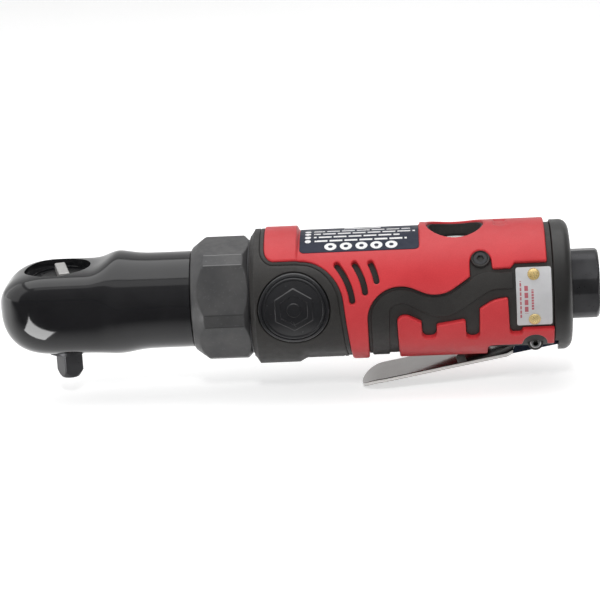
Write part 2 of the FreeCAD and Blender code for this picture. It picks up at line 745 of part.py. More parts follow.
def grip_shell():
    """Red upper shell, open underneath for the lever, with a strap down each side."""
    return red_solids()[-1]


def side_panel(side):
    """Lower red panel on the near side (-1) or the far side (+1)."""
    panels = red_solids()[:-1]
    return [panel for panel in panels if panel.CenterOfMass.y * side > 0][0]


def lowered_rod(radius, x0, x1):
    return rod_x(radius, x0, x1, 0, -LABEL_DROP)


def label():
    """Printed sticker over the top of the shell."""
    sheet = lowered_rod(LABEL_SWEEP_R + 0.17, LABEL_X0, LABEL_X1 - 0.2)
    sheet = sheet.cut(lowered_rod(LABEL_SWEEP_R + 0.01, 70, 115))
    half_y = LABEL_SWEEP_R * math.sin(math.radians(LABEL_HALF_ANGLE)) - 0.4
    outline = [(LABEL_X0, -half_y, 1.5), (LABEL_X1 - 0.2, -half_y, 1.5), (LABEL_X1 - 0.2, half_y, 1.5),
               (LABEL_X0, half_y, 1.5)]
    return sheet.common(plan_prism(outline, 5, 30))


def window_liner():
    """Short tube of the sleeve that lines the top window down to the housing."""
    tube = rod_z(WINDOW_R - 0.05, PLUG_Z - 0.15, 22, VALVE_X).cut(rod_z(WINDOW_IN_R, 0, 30, VALVE_X))
    return tube.common(rod_x(20.3, 110, 135))


def grip_sleeve():
    """Black sleeve under the red shell: thick where it shows, thin where the shell covers it."""
    core = tube_x(SLEEVE_CORE_R, SLEEVE_IN_R, SLEEVE_X0, SLEEVE_X1)
    open_front = front_black_prism()
    collar = turned_x([(SLEEVE_X0, 18), (SLEEVE_X0, 18.6), (61.0, COLLAR_R), (COLLAR_X1 - 1, COLLAR_R),
                       (COLLAR_X1, 19.8), (92, 19.8), (92, 18)]).common(open_front)
    face = tube_x(SLEEVE_FACE_R, 18, 94, SLEEVE_X1).common(side_window_prism())
    band = tube_x(BAND_R, 18, 94, 141).common(band_prism())
    tail_top = tube_x(SLEEVE_FACE_R, 18, SHELL_X1 + 0.02, SLEEVE_X1).common(block(149, 152, -30, 30, 0, 30))
    body = core.fuse(collar).fuse(face).fuse(band).fuse(tail_top).fuse(screw_boss(BOSS_R, 18, 20.6))
    body = body.cut(lever_slot(SLEEVE_SLOT_HALF)).cut(rod_x(SLEEVE_IN_R, 50, 160))
    body = body.cut(screw_boss(2.2, 18.3, 25)).cut(screw_boss(1.55, 10, 20))
    pocket = emblem_disc(EMBLEM_R + 0.05).cut(rod_x(19.3, 50, 90))
    body = body.cut(pocket).cut(rod_z(WINDOW_R - 0.1, 0, 30, VALVE_X)).fuse(window_liner())
    groove = lever_groove()
    body = body.cut(groove).cut(other_side(groove))
    body = body.cut(rod_y(PIN_R + 0.02, -30, 30, PIVOT_X, PIVOT_Z))
    for angle in RIVET_ANGLES:
        body = body.cut(rivet_shape(RIVET_SHANK_R + 0.01, angle))
    return body.removeSplitter()


# ---------------------------------------------------------------- badges and fasteners of the grip
def emblem():
    """Plain round badge on each side of the collar."""
    badge = emblem_disc(EMBLEM_R).common(tube_x(21.4, 19.32, 50, 90))
    near = badge.common(block(50, 90, -30, 0, -30, 30))
    return Part.makeCompound([near, other_side(near)])


def nameplate():
    outline = [(140.4, -7.5, 0.8), (151.2, -7.5, 0.8), (151.2, 11.4, 0.8), (140.4, 11.4, 0.8)]
    plate = side_prism(outline, -30, 0).common(tube_x(PLATE_OUT_R, SLEEVE_FACE_R + 0.02, 130, 155))
    for angle in RIVET_ANGLES:
        plate = plate.cut(rivet_shape(RIVET_SHANK_R + 0.01, angle))
    return plate


def rivet_shape(shank_radius, angle):
    """Shank of a drive rivet on the near side."""
    return screw_axis(rod_y(shank_radius, -20.5, -17.4, RIVET_X, 0), angle)


def nameplate_rivets():
    rivets = []
    for angle in RIVET_ANGLES:
        dome = Part.makeSphere(2.2, V(RIVET_X, -PLATE_OUT_R + 1.2, 0))
        dome = dome.common(block(140, 150, -30, -PLATE_OUT_R - 0.02, -5, 5))
        dome = screw_axis(dome, angle)
        rivets.append(dome.fuse(rivet_shape(RIVET_SHANK_R, angle)).removeSplitter())
    return Part.makeCompound(rivets)


def grip_screws():
    """Socket-head screws that fasten the grip to the housing, one on each side."""
    head = rod_y(2.1, -20.1, -18.35, SCREW_X, 0)
    head = head.cut(hex_socket_y(2.0, -21, -19.0))
    screw = screw_axis(head.fuse(rod_y(1.48, -18.4, -13.6, SCREW_X, 0)), SCREW_ANGLE)
    return Part.makeCompound([screw, other_side(screw)])


def hex_socket_y(across_flats, y0, y1):
    corner = across_flats / 2 / math.cos(math.pi / 6)
    points = []
    for index in range(6):
        angle = index * math.pi / 3
        points.append(V(SCREW_X + corner * math.cos(angle), y0, corner * math.sin(angle)))
    return Part.Face(Part.makePolygon(points + points[:1])).extrude(V(0, y1 - y0, 0))


# ---------------------------------------------------------------- lever and throttle valve
def lever_closed():
    """The lever squeezed home, with its plate parallel to the long axis."""
    top = PIVOT_Z - LEVER_DROP
    low = top - LEVER_THICKNESS
    curl = Part.Arc(V(97, 0, top), V(93.8, 0, top - 0.4), V(90.4, 0, top - 1.9)).toShape()
    under = Part.Arc(V(90.4, 0, low - 1.9), V(93.8, 0, low - 0.4), V(97, 0, low)).toShape()
    edges = [curl, Part.makeLine(V(90.4, 0, top - 1.9), V(90.4, 0, low - 1.9)), under,
             Part.makeLine(V(97, 0, low), V(146, 0, low)), Part.makeLine(V(146, 0, low), V(146, 0, top)),
             Part.makeLine(V(146, 0, top), V(97, 0, top))]
    side = Part.Face(Part.Wire(Part.__sortEdges__(edges)))
    side.translate(V(0, -10, 0))
    sheet = side.extrude(V(0, 20, 0))
    wide = LEVER_HALF_WIDTH
    plan = plan_prism([(90.4, -wide, 8.4), (136.8, -wide, 0.8), (138.6, -6.65, 0.8), (147, -6.65, 0),
                       (147, 6.65, 0), (138.6, 6.65, 0.8), (136.8, wide, 0.8), (90.4, wide, 8.4)], -25, -10)
    body = sheet.common(plan)
    cheek_outline = [(138.2, low, 0.4), (140.6, -14.6, 2), (142.8, -11.7, 2.2), (149.6, -11.7, 2.2),
                     (151.4, -16.0, 0.8), (153.7, -17.6, 0.5), (153.7, low, 0.5)]
    cheek = side_prism(cheek_outline, 5.45, 6.7)
    body = body.fuse(cheek).fuse(other_side(cheek))
    return body.cut(rod_y(PIN_R + CLEAR, -20, 20, PIVOT_X, PIVOT_Z)).removeSplitter()


def throttle_lever():
    lever = lever_closed()
    lever.rotate(V(PIVOT_X, 0, PIVOT_Z), SIDE_AXIS, -LEVER_ANGLE)
    return lever


def lever_pin():
    """Hollow spring pin with rounded ends."""
    pin = rod_y(PIN_R, -PIN_HALF_Y, PIN_HALF_Y, PIVOT_X, PIVOT_Z)
    pin = pin.makeChamfer(0.35, [edge for edge in pin.Edges if edge.Curve.TypeId == "Part::GeomCircle"])
    return pin.cut(rod_y(0.85, -20, 20, PIVOT_X, PIVOT_Z))


def throttle_valve():
    """Stem, poppet and spring pilot, which slide together when the lever is squeezed."""
    profile = [(0, STEM_END_Z), (0.9, STEM_END_Z), (STEM_R, STEM_END_Z + 0.54), (STEM_R, -1.15),
               (3.9, -1.15), (3.9, 0.3), (3.2, 0.9), (1.6, 0.9), (1.6, 4.0), (0, 4.0)]
    return turned_z(profile, VALVE_X)


def valve_seat():
    return turned_z([(2.6, -3.95), (5.45, -3.95), (5.45, -1.2), (3.0, -1.2), (2.6, -1.7)], VALVE_X)


def stem_bush():
    bush = rod_z(2.57, -16.6, -12.05, VALVE_X)
    return bush.cut(rod_z(STEM_R + CLEAR, -20, -10, VALVE_X))


def valve_spring():
    return coil(2.5, 0.6, 0.95, PLUG_Z - 6.4, 5, VALVE_X, 0)


def valve_plug():
    """Screw plug that closes the valve bore; its head lies at the bottom of the top window."""
    head_z = PLUG_Z - 2.55
    profile = [(0, PLUG_Z - 6.35), (5.45, PLUG_Z - 6.35), (5.45, PLUG_Z - 4.0), (4.8, PLUG_Z - 3.7),
               (4.8, head_z), (7.2, head_z), (7.2, PLUG_Z - 0.4), (6.8, PLUG_Z), (0, PLUG_Z)]
    plug = turned_z(profile, VALVE_X)
    corner = 2.5 / math.cos(math.pi / 6)
    points = []
    for index in range(6):
        angle = index * math.pi / 3
        points.append(V(VALVE_X + corner * math.cos(angle), corner * math.sin(angle), PLUG_Z - 2.8))
    return plug.cut(Part.Face(Part.makePolygon(points + points[:1])).extrude(V(0, 0, 5)))


def plug_o_ring():
    return tube_z(5.44, 4.85, PLUG_Z - 3.65, PLUG_Z - 2.65).translated(V(VALVE_X, 0, 0))


# ---------------------------------------------------------------- rear end
def exhaust_cap():
    """Black rear cap with exhaust slots in its end face and a notch for the lever."""
    front = SLEEVE_X1 + 0.1
    bend_x = CAP_X1 - 0.5 - (CAP_R - CAP_FACE_R)
    profile = [(front, SLEEVE_IN_R), (front, CAP_R), (bend_x, CAP_R)]
    for step in range(1, 9):
        angle = math.radians(90 * step / 8)
        reach = CAP_R - CAP_FACE_R
        profile.append((bend_x + reach * math.sin(angle), CAP_FACE_R + reach * math.cos(angle)))
    profile += [(CAP_X1, 13.5), (CAP_X1, 10.0), (156.3, 10.0), (156.3, SLEEVE_IN_R)]
    cap = turned_x(profile)
    count = 12
    slot = rod_x(15.2, 155, 160).cut(rod_x(11.6, 154, 161)).common(block(155, 160, -1.2, 1.2, 0, 20))
    for index in range(count):
        cap = cap.cut(around_x(slot, (index + 0.5) * 360 / count))
    notch = block(150, 155.2, -7.6, 7.6, -30, -15.6)
    front_notch = block(150, front + 1.3, -15, 15, -30, -13.4)
    return cap.cut(notch).cut(front_notch).removeSplitter()


def muffler():
    return tube_x(16.3, 9.9, HOUSING_X1 + 0.1, 156.25)


def inlet_bushing():
    """Hexagonal inlet fitting with an internal quarter-inch air thread."""
    hexagon = hex_prism_x(BUSHING_FLATS, BUSHING_X0, BUSHING_X1, BUSHING_TURN)
    rounding = turned_x([(BUSHING_X0, 0), (BUSHING_X0, BUSHING_ROUND_R), (165.6, BUSHING_ROUND_R),
                         (BUSHING_X1, BUSHING_ROUND_R - 0.8), (BUSHING_X1, 0)])
    body = hexagon.common(rounding)
    body = body.fuse(rod_x(8.0, 148.2, 159))
    body = body.cut(rod_x(INLET_BORE_R, 153.5, 170)).cut(rod_x(4.2, 147, 155))
    body = body.cut(rod_x(FILTER_R + CLEAR, 152.8, 154))
    groove = tube_x(9, 6.9, 155.6, 157.2)
    return body.cut(groove).removeSplitter()


def inlet_o_ring():
    return tube_x(8.02, 6.92, 155.7, 157.1)


def filter_screen():
    """Round perforated strainer on a step below the inlet thread."""
    disc = rod_x(FILTER_R, 152.85, 153.4)
    pitch = 1.4
    for row in range(-3, 4):
        for column in range(-3, 4):
            if math.hypot(row, column) < 3.3:
                disc = disc.cut(rod_x(0.5, 152, 154, row * pitch, column * pitch))
    return disc


NODES = {
    "head_housing": head_housing,
    "cover_plate": cover_plate,
    "thrust_washer": thrust_washer,
    "retaining_ring": retaining_ring,
    "yoke": yoke,
    "anvil": anvil,
    "socket_ball": socket_ball,
    "pawl_far": lambda: pawl(0),
    "pawl_near": lambda: pawl(180),
    "pawl_pins": pawl_pins,
    "reverse_knob": reverse_knob,
    "detent_ball": detent_ball,
    "detent_spring": detent_spring,
    "crankshaft": crankshaft,
    "crank_bush": crank_bush,
    "needle_bearing": needle_bearing,
    "ring_gear": ring_gear,
    "planet_gear_1": lambda: planet(0),
    "planet_gear_2": lambda: planet(1),
    "planet_gear_3": lambda: planet(2),
    "planet_pins": planet_pins,
    "clamp_nut": clamp_nut,
    "front_washer": front_washer,
    "front_end_plate": front_end_plate,
    "front_bearing": lambda: ball_bearing(50.0, 54.5),
    "cylinder_liner": cylinder_liner,
    "rotor": rotor,
    "rotor_vanes": rotor_vanes,
    "rear_end_plate": rear_end_plate,
    "rear_bearing": lambda: ball_bearing(99.7, 104.3),
    "dowel_pin": dowel_pin,
    "motor_housing": motor_housing,
    "grip_sleeve": grip_sleeve,
    "grip_shell": grip_shell,
    "side_panel_near": lambda: side_panel(-1),
    "side_panel_far": lambda: side_panel(1),
    "emblem": emblem,
    "label": label,
    "nameplate": nameplate,
    "nameplate_rivets": nameplate_rivets,
    "grip_screws": grip_screws,
    "throttle_lever": throttle_lever,
    "lever_pin": lever_pin,
    "throttle_valve": throttle_valve,
    "valve_seat": valve_seat,
    "stem_bush": stem_bush,
    "valve_spring": valve_spring,
    "valve_plug": valve_plug,
    "plug_o_ring": plug_o_ring,
    "exhaust_cap": exhaust_cap,
    "muffler": muffler,
    "inlet_bushing": inlet_bushing,
    "inlet_o_ring": inlet_o_ring,
    "filter_screen": filter_screen,
}


def main():
    os.makedirs("parts", exist_ok=True)
    for name, make in NODES.items():
        shape = make()
        print(name, "solids", len(shape.Solids), "valid", shape.isValid(), "volume", round(shape.Volume, 2))
        shape.exportStep("parts/" + name + ".step")


main()
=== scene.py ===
import json
from math import acos, asin, atan2, ceil, cos, dist, exp, pi, radians, sin, sqrt, tan

import bmesh
import bpy
import numpy as np
from mathutils import Matrix, Quaternion, Vector, geometry


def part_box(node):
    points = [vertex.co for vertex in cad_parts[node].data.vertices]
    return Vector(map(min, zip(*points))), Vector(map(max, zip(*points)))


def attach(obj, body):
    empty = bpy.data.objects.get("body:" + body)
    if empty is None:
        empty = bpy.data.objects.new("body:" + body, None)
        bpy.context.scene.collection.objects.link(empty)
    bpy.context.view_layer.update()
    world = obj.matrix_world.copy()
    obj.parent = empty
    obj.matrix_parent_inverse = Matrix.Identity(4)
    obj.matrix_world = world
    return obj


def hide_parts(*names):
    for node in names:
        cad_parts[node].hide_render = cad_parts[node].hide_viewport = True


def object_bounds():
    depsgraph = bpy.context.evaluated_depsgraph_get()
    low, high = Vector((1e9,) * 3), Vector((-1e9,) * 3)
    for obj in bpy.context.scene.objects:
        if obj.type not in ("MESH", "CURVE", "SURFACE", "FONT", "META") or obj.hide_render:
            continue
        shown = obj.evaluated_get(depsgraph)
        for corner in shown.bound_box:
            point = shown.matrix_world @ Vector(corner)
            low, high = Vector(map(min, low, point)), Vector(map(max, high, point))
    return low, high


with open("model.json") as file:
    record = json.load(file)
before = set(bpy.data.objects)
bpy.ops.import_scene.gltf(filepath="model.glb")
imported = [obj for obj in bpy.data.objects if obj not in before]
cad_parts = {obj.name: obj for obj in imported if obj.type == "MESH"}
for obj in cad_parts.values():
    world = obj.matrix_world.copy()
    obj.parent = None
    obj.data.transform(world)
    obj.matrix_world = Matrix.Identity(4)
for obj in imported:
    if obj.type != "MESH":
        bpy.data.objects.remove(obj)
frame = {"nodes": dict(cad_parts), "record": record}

cad_low, cad_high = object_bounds()

# Straight air ratchet. +X runs to the air inlet, +Z away from the square drive, the camera is on -Y.
# Sizes below are millimetres; MM turns them into the metres of the frame.
MM = 0.001
LABEL_SWEEP_R = 28.6               # the label lies on a cylinder whose axis is below the long axis
LABEL_DROP = 9.0
LABEL_HALF_ANGLE = 26.7            # on that cylinder, degrees
DISC_TOP_Z = 9.35                  # just above the disc of the reverse knob
NUT_TURN = 23.9                    # direction of one wide flat of the clamp nut, degrees
NUT_EDGE = 24.0                    # from the middle of a wide flat to its edge, degrees
NUT_EDGE_SPAN = (51.2, 5.9)        # middle and half length of those edges along X
GRIP_R = 21.0                      # reference radius on which the grip's outlines are unrolled
TOP = pi / 2 * GRIP_R              # unrolled place of the top line; 0 is the near side


# ---- general mesh helpers
def box_mm(node):
    """Lowest and highest corners of a CAD node, in millimetres."""
    low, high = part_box(node)
    return Vector(low) / MM, Vector(high) / MM


def middle_mm(node):
    """Centre of a CAD node as x, y, z in millimetres."""
    return [(low + high) / 2 for low, high in zip(*box_mm(node))]


def add_object(name, data):
    """New object in the scene."""
    holder = bpy.data.objects.new(name, data)
    bpy.context.scene.collection.objects.link(holder)
    return holder


def smooth_below(mesh, degrees):
    """Smooth shading that leaves edges above this angle crisp."""
    mesh.shade_smooth()
    mesh.set_sharp_from_angle(angle=radians(degrees))


def make_object(name, points, faces, materials, face_materials=None, sharp=35.0):
    """New smooth-shaded object from points in millimetres and names of finishes."""
    mesh = bpy.data.meshes.new(name)
    mesh.from_pydata([(p[0] * MM, p[1] * MM, p[2] * MM) for p in points], [], faces)
    for material in materials:
        mesh.materials.append(FINISHES[material])
    if face_materials is not None:
        mesh.polygons.foreach_set("material_index", face_materials)
    tidy = bmesh.new()
    tidy.from_mesh(mesh)
    bmesh.ops.remove_doubles(tidy, verts=tidy.verts, dist=0.002 * MM)
    bmesh.ops.dissolve_degenerate(tidy, edges=tidy.edges, dist=0.0005 * MM)
    bmesh.ops.recalc_face_normals(tidy, faces=tidy.faces)
    tidy.to_mesh(mesh)
    tidy.free()
    smooth_below(mesh, sharp)
    return add_object(name, mesh)


def place_piece(piece, node, body="housing"):
    """Ride on a body and stand for a CAD node, which is hidden."""
    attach(piece, body)
    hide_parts(node)


def join(name, pieces):
    """One object from several; the first one's materials come first."""
    first = pieces[0]
    with bpy.context.temp_override(active_object=first, selected_editable_objects=pieces):
        bpy.ops.object.join()
    first.name = name
    return first


def cut_away(piece, cutters):
    """Exact boolean difference, applied at once; the cutters are removed."""
    for cutter in cutters:
        step = piece.modifiers.new("cut", "BOOLEAN")
        step.operation = "DIFFERENCE"
        step.solver = "EXACT"
        step.object = cutter
    graph = bpy.context.evaluated_depsgraph_get()
    result = bpy.data.meshes.new_from_object(piece.evaluated_get(graph))
    piece.modifiers.clear()
    old = piece.data
    piece.data = result
    bpy.data.meshes.remove(old)
    for cutter in cutters:
        bpy.data.objects.remove(cutter)
    smooth_below(result, 30)


def ring_mesh(name, rings, materials, loop=False, sharp=35.0):
    """Skin over rings of equal point count; open ends are capped unless the rings form a loop."""
    count = len(rings[0])
    starts = [count * index for index in range(len(rings))] + ([0] if loop else [])
    faces = []
    for first, second in zip(starts, starts[1:]):
        for index in range(count):
            after = (index + 1) % count
            faces.append((first + index, first + after, second + after, second + index))
    if not loop:
        faces += [range(start, start + count) for start in (0, starts[-1])]
    return make_object(name, [point for ring in rings for point in ring], faces, materials, sharp=sharp)


def turns(count):
    return [2 * pi * step / count for step in range(count)]


def circle(count, radius, centre=(0.0, 0.0)):
    """Points round a circle, from its first axis towards its second."""
    return [(centre[0] + radius * cos(turn), centre[1] + radius * sin(turn)) for turn in turns(count)]


def lathe(name, profile, place, materials, segments=96, loop=False, sharp=35.0):
    """Turned piece. profile holds (radius, height); place(a, b, height) puts a point in space."""
    rings = [[place(a, b, height) for a, b in circle(segments, radius)] for radius, height in profile]
    return ring_mesh(name, rings, materials, loop, sharp)


def along_x(across, up, height):
    return (height, across, up)


def hexagon(angle):
    """Radius of a hexagon of unit half-width across flats, by direction."""
    return 1 / cos((angle + pi / 6) % (pi / 3) - pi / 6)


def fillet(profile, corner, before, after, radius, steps=6):
    """Append the rounded corner between two neighbouring profile points."""
    c = np.array(corner, float)
    a = np.array(before, float) - c
    b = np.array(after, float) - c
    a /= np.linalg.norm(a)
    b /= np.linalg.norm(b)
    half = acos(max(-1, min(1, float(a @ b)))) / 2
    start = c + a * radius / tan(half)
    end = c + b * radius / tan(half)
    centre = c + (a + b) / np.linalg.norm(a + b) * radius / sin(half)
    for index in range(steps + 1):
        share = index / steps
        turn = pi - 2 * half
        u = start - centre
        v = end - centre
        point = (sin((1 - share) * turn) * u + sin(share * turn) * v) / sin(turn)
        profile.append(tuple(centre + point))


def rounded(corners, steps=6):
    """Closed outline from corners (u, v, radius), with the corners rounded."""
    outline = []
    count = len(corners)
    for index, (u, v, radius) in enumerate(corners):
        before = corners[index - 1][:2]
        after = corners[(index + 1) % count][:2]
        if radius > 0:
            fillet(outline, (u, v), before, after, radius, max(3, min(16, int(radius * steps))))
        else:
            outline.append((float(u), float(v)))
    return outline


def rectangle(x0, x1, y0, y1, radius, steps=6):
    return rounded([(x0, y0, radius), (x1, y0, radius), (x1, y1, radius), (x0, y1, radius)], steps)


def dense(outline, spacing, closed=True):
    """The same outline with extra points on its long sides."""
    result = []
    for first, second in zip(outline, outline[1:] + outline[:closed]):
        length = dist(first, second)
        if length < 1e-4:
            continue
        pieces = max(1, ceil(length / spacing))
        for step in range(pieces):
            share = step / pieces
            result.append(tuple(a + (b - a) * share for a, b in zip(first, second)))
    return result if closed else result + outline[-1:]


def edge_distance(points, loops):
    """Distance of each point to the nearest side of any loop."""
    best = np.full(len(points), 1e9)
    for loop in loops:
        starts = np.array(loop)
        ends = np.roll(starts, -1, axis=0)
        real = np.array([not (on_seam(a) and on_seam(b)) for a, b in zip(starts, ends)])
        starts = starts[real]
        ends = ends[real]
        sides = ends - starts
        lengths = np.maximum((sides ** 2).sum(axis=1), 1e-12)
        for first in range(0, len(points), 2000):
            part = points[first:first + 2000]
            offset = part[:, None, :] - starts[None]
            share = np.clip((offset * sides[None]).sum(axis=2) / lengths[None], 0, 1)
            gap = offset - share[:, :, None] * sides[None]
            nearest = np.sqrt((gap ** 2).sum(axis=2).min(axis=1))
            best[first:first + 2000] = np.minimum(best[first:first + 2000], nearest)
    return best


def inside(points, loops):
    """True where a point is inside an odd number of loops."""
    result = np.zeros(len(points), bool)
    x = points[:, 0]
    y = points[:, 1]
    for loop in loops:
        for (x0, y0), (x1, y1) in zip(loop, loop[1:] + loop[:1]):
            if y0 == y1:
                continue
            crosses = ((y0 > y) != (y1 > y)) & (x < (x1 - x0) * (y - y0) / (y1 - y0) + x0)
            result ^= crosses
    return result


def on_seam(point):
    """True on the bottom line, where a plate that goes all the way round meets itself."""
    return abs(abs(point[1] - TOP) - 2 * TOP) < 1e-6


def patch(loops, spacing, edge, extra=()):
    """Triangles over a flat region with holes, fine near its rounded edge.
    Returns the points, their distance to the edge, the triangles and the outline's index loops."""
    loops = [dense(loop, min(spacing, 0.7)) for loop in loops]
    steps = (0.12, 0.3, 0.55, 0.8, 1.0, 1.6)
    near = []
    for loop in loops:
        ring = np.array(loop)
        tangent = np.roll(ring, -1, axis=0) - np.roll(ring, 1, axis=0)
        tangent /= np.maximum(np.linalg.norm(tangent, axis=1)[:, None], 1e-9)
        normal = np.stack([-tangent[:, 1], tangent[:, 0]], axis=1)
        for step in steps:
            for side in (-1, 1):
                near.append((ring + normal * edge * step * side, edge * step))
    low = np.min([np.min(loop, axis=0) for loop in loops], axis=0)
    high = np.max([np.max(loop, axis=0) for loop in loops], axis=0)
    kept = []
    for ring, depth in near:
        good = inside(ring, loops) & (edge_distance(ring, loops) > depth * 0.93)
        kept.append(ring[good])
    us = np.arange(low[0] + spacing / 2, high[0], spacing)
    vs = np.arange(low[1] + spacing / 2, high[1], spacing)
    grid = np.stack(np.meshgrid(us, vs), axis=-1).reshape(-1, 2)
    grid = np.concatenate([grid] + [np.array(line) for line in extra])
    good = inside(grid, loops) & (edge_distance(grid, loops) > edge * 1.6 + spacing * 0.3)
    kept.append(grid[good])
    points = []
    sides = []
    index_loops = []
    for loop in loops:
        first = len(points)
        count = len(loop)
        points.extend(loop)
        index_loops.append(list(range(first, first + count)))
        sides.extend((first + k, first + (k + 1) % count) for k in range(count))
    points.extend(map(tuple, np.concatenate(kept)))
    flat = [Vector((float(u), float(v))) for u, v in points]
    out, _, triangles, origin, _, _ = geometry.delaunay_2d_cdt(flat, sides, [], 0, 1e-5)
    out = np.array([tuple(v) for v in out])
    lookup = {}
    for place, sources in enumerate(origin):
        for source in sources:
            lookup[source] = place
    index_loops = [[lookup[k] for k in loop] for loop in index_loops]
    triangles = np.array([list(t) for t in triangles])
    middles = out[triangles].mean(axis=1)
    triangles = triangles[inside(middles, loops)]
    depth = edge_distance(out, loops)
    for loop in index_loops:
        depth[[k for k in loop if not on_seam(out[k])]] = 0
    return out, depth, triangles, index_loops


def round_drop(depth, radius):
    """How far a rounded edge has fallen at this distance from the outline."""
    rest = np.clip(radius - depth, 0, radius)
    return radius - np.sqrt(np.maximum(radius ** 2 - rest ** 2, 0))


def raised_patch(name, loops, spacing, edge, surface, materials, wall_material=0, extra=(), sharp=50.0):
    """Closed plate over a region. surface(u, v, drop, floor) gives points on its face or its floor."""
    flat, depth, triangles, index_loops = patch(loops, spacing, edge, extra)
    drop = round_drop(depth, edge)
    face = surface(flat[:, 0], flat[:, 1], drop, False)
    floor = surface(flat[:, 0], flat[:, 1], drop, True)
    count = len(flat)
    points = [tuple(p) for p in face] + [tuple(p) for p in floor]
    faces = [tuple(int(k) for k in t) for t in triangles]
    faces += [tuple(int(k) + count for k in reversed(t)) for t in triangles]
    numbers = [0] * len(faces)
    for loop in index_loops:
        for first, second in zip(loop, loop[1:] + loop[:1]):
            if on_seam(flat[first]) and on_seam(flat[second]):
                continue
            faces.append((first, second, second + count, first + count))
            numbers.append(wall_material)
    return make_object(name, points, faces, materials, numbers, sharp)


# ---- materials
class Nodes:
    """Short calls that add and join shader nodes in one tree."""

    def __init__(self, tree):
        self.tree = tree

    def node(self, kind, values=(), **settings):
        """New node; values are pairs of an input and a number, colour or socket."""
        made = self.tree.nodes.new("ShaderNode" + kind)
        for title, value in settings.items():
            setattr(made, title, value)
        for socket, value in dict(values).items():
            self.put(made.inputs[socket], value)
        return made.outputs

    def put(self, socket, value):
        if isinstance(value, bpy.types.NodeSocket):
            self.tree.links.new(value, socket)
        elif isinstance(value, (tuple, list)) and len(value) == 3 and socket.type == "RGBA":
            socket.default_value = (*value, 1)
        else:
            socket.default_value = value

    def calc(self, operation, *values):
        return self.node("Math", enumerate((*values, 0.0, 0.0)[:3]), operation=operation)[0]

    def chain(self, operation, first, *others):
        for other in others:
            first = self.calc(operation, first, other)
        return first

    def times(self, *values):
        return self.chain("MULTIPLY", *values)

    def parts(self, vector):
        return tuple(self.node("SeparateXYZ", {0: vector}))

    def span(self, value, low, high, start=0.0, end=1.0, curve="LINEAR"):
        values = {"Value": value, "From Min": low, "From Max": high, "To Min": start, "To Max": end}
        return self.node("MapRange", values, interpolation_type=curve)[0]

    def mix(self, share, first, second):
        return self.node("Mix", {0: share, 6: first, 7: second}, data_type="RGBA")[2]


class Finish(Nodes):
    """A material in the making; lengths in its patterns are millimetres."""

    def __init__(self, name, **values):
        self.material = bpy.data.materials.new(name)
        self.material.use_nodes = True
        super().__init__(self.material.node_tree)
        self.surface = self.tree.nodes["Principled BSDF"]
        place = self.node("TexCoord")["Object"]
        self.point = self.node("VectorMath", {0: place, "Scale": 1 / MM}, operation="SCALE")[0]
        for title, value in values.items():
            self.set(title, value)

    def set(self, title, value):
        """Value of a surface input, with _ for the spaces in its name."""
        self.put(self.surface.inputs[title.replace("_", " ")], value)

    def tone(self, share, deep, pale):
        self.set("Base_Color", self.mix(share, deep, pale))

    def rough(self, *span):
        self.set("Roughness", self.span(*span))

    def noise(self, per_mm, detail=2.0, stretch=(1, 1, 1)):
        place = self.node("VectorMath", {0: self.point, 1: stretch}, operation="MULTIPLY")[0]
        return self.node("TexNoise", {"Vector": place, "Scale": per_mm, "Detail": detail})["Fac"]

    def cells(self, per_mm):
        return self.node("TexVoronoi", {"Vector": self.point, "Scale": per_mm})["Distance"]

    def around(self):
        """Direction round the long axis from the near side, radians."""
        _, y, z = self.parts(self.point)
        return self.calc("ARCTAN2", z, self.times(y, -1.0))

    def bump(self, height, depth_mm):
        """Relief of the given depth; calls stack."""
        values = {"Distance": depth_mm * MM, "Height": height}
        earlier = self.surface.inputs["Normal"]
        if earlier.is_linked:
            values["Normal"] = earlier.links[0].from_socket
        self.put(earlier, self.node("Bump", values)["Normal"])

    def soft_edges(self, radius_mm):
        """Rounded light on crisp edges; called before any relief."""
        self.set("Normal", self.node("Bevel", {"Radius": radius_mm * MM}, samples=4)["Normal"])


def moulded(name, deep, pale, rough, grain, depth, coat=0.0):
    """Moulded plastic or rubber: fine spark-eroded grain, faint mottling and uneven sheen."""
    made = Finish(name, Coat_Weight=coat, Coat_Roughness=0.3)
    blotch = made.span(made.noise(0.07, 3), 0.3, 0.7)
    speck = made.span(made.noise(grain, 3), 0.35, 0.7)
    made.tone(made.calc("MULTIPLY_ADD", speck, 0.55, made.times(blotch, 0.45)), deep, pale)
    made.rough(made.noise(0.5, 3), 0.25, 0.75, rough - 0.06, rough + 0.07)
    made.bump(made.noise(grain, 4), depth)
    made.bump(made.cells(grain * 0.55), depth * 0.8)
    return made.material


def metal(name, deep, pale, rough, lay=(1, 1, 1), lay_depth=0.004, patina=0.12, metallic=1.0,
          spread=0.08):
    """Machined or coated metal: lay is how the grinding marks are stretched along the axes."""
    made = Finish(name, Metallic=metallic)
    cloud = made.span(made.noise(patina, 4), 0.32, 0.68)
    made.tone(cloud, deep, pale)
    marks = made.noise(3.0, 3, lay)
    made.soft_edges(0.12)
    base = made.span(marks, 0.3, 0.7, rough - spread, rough + spread)
    cloud = made.span(made.noise(0.6, 4), 0.3, 0.7, -spread / 2, spread / 2)
    made.set("Roughness", made.calc("ADD", base, cloud))
    made.bump(marks, lay_depth)
    return made.material


def head_enamel():
    """Deep gloss black with faint orange peel and a little dust in the sheen."""
    made = Finish("head_black", IOR=1.55)
    made.soft_edges(0.2)
    made.tone(made.noise(0.15, 3), (0.005, 0.005, 0.006), (0.013, 0.013, 0.014))
    made.rough(made.noise(0.25, 4), 0.3, 0.75, 0.07, 0.13)
    made.bump(made.noise(0.9, 2), 0.0015)
    return made.material


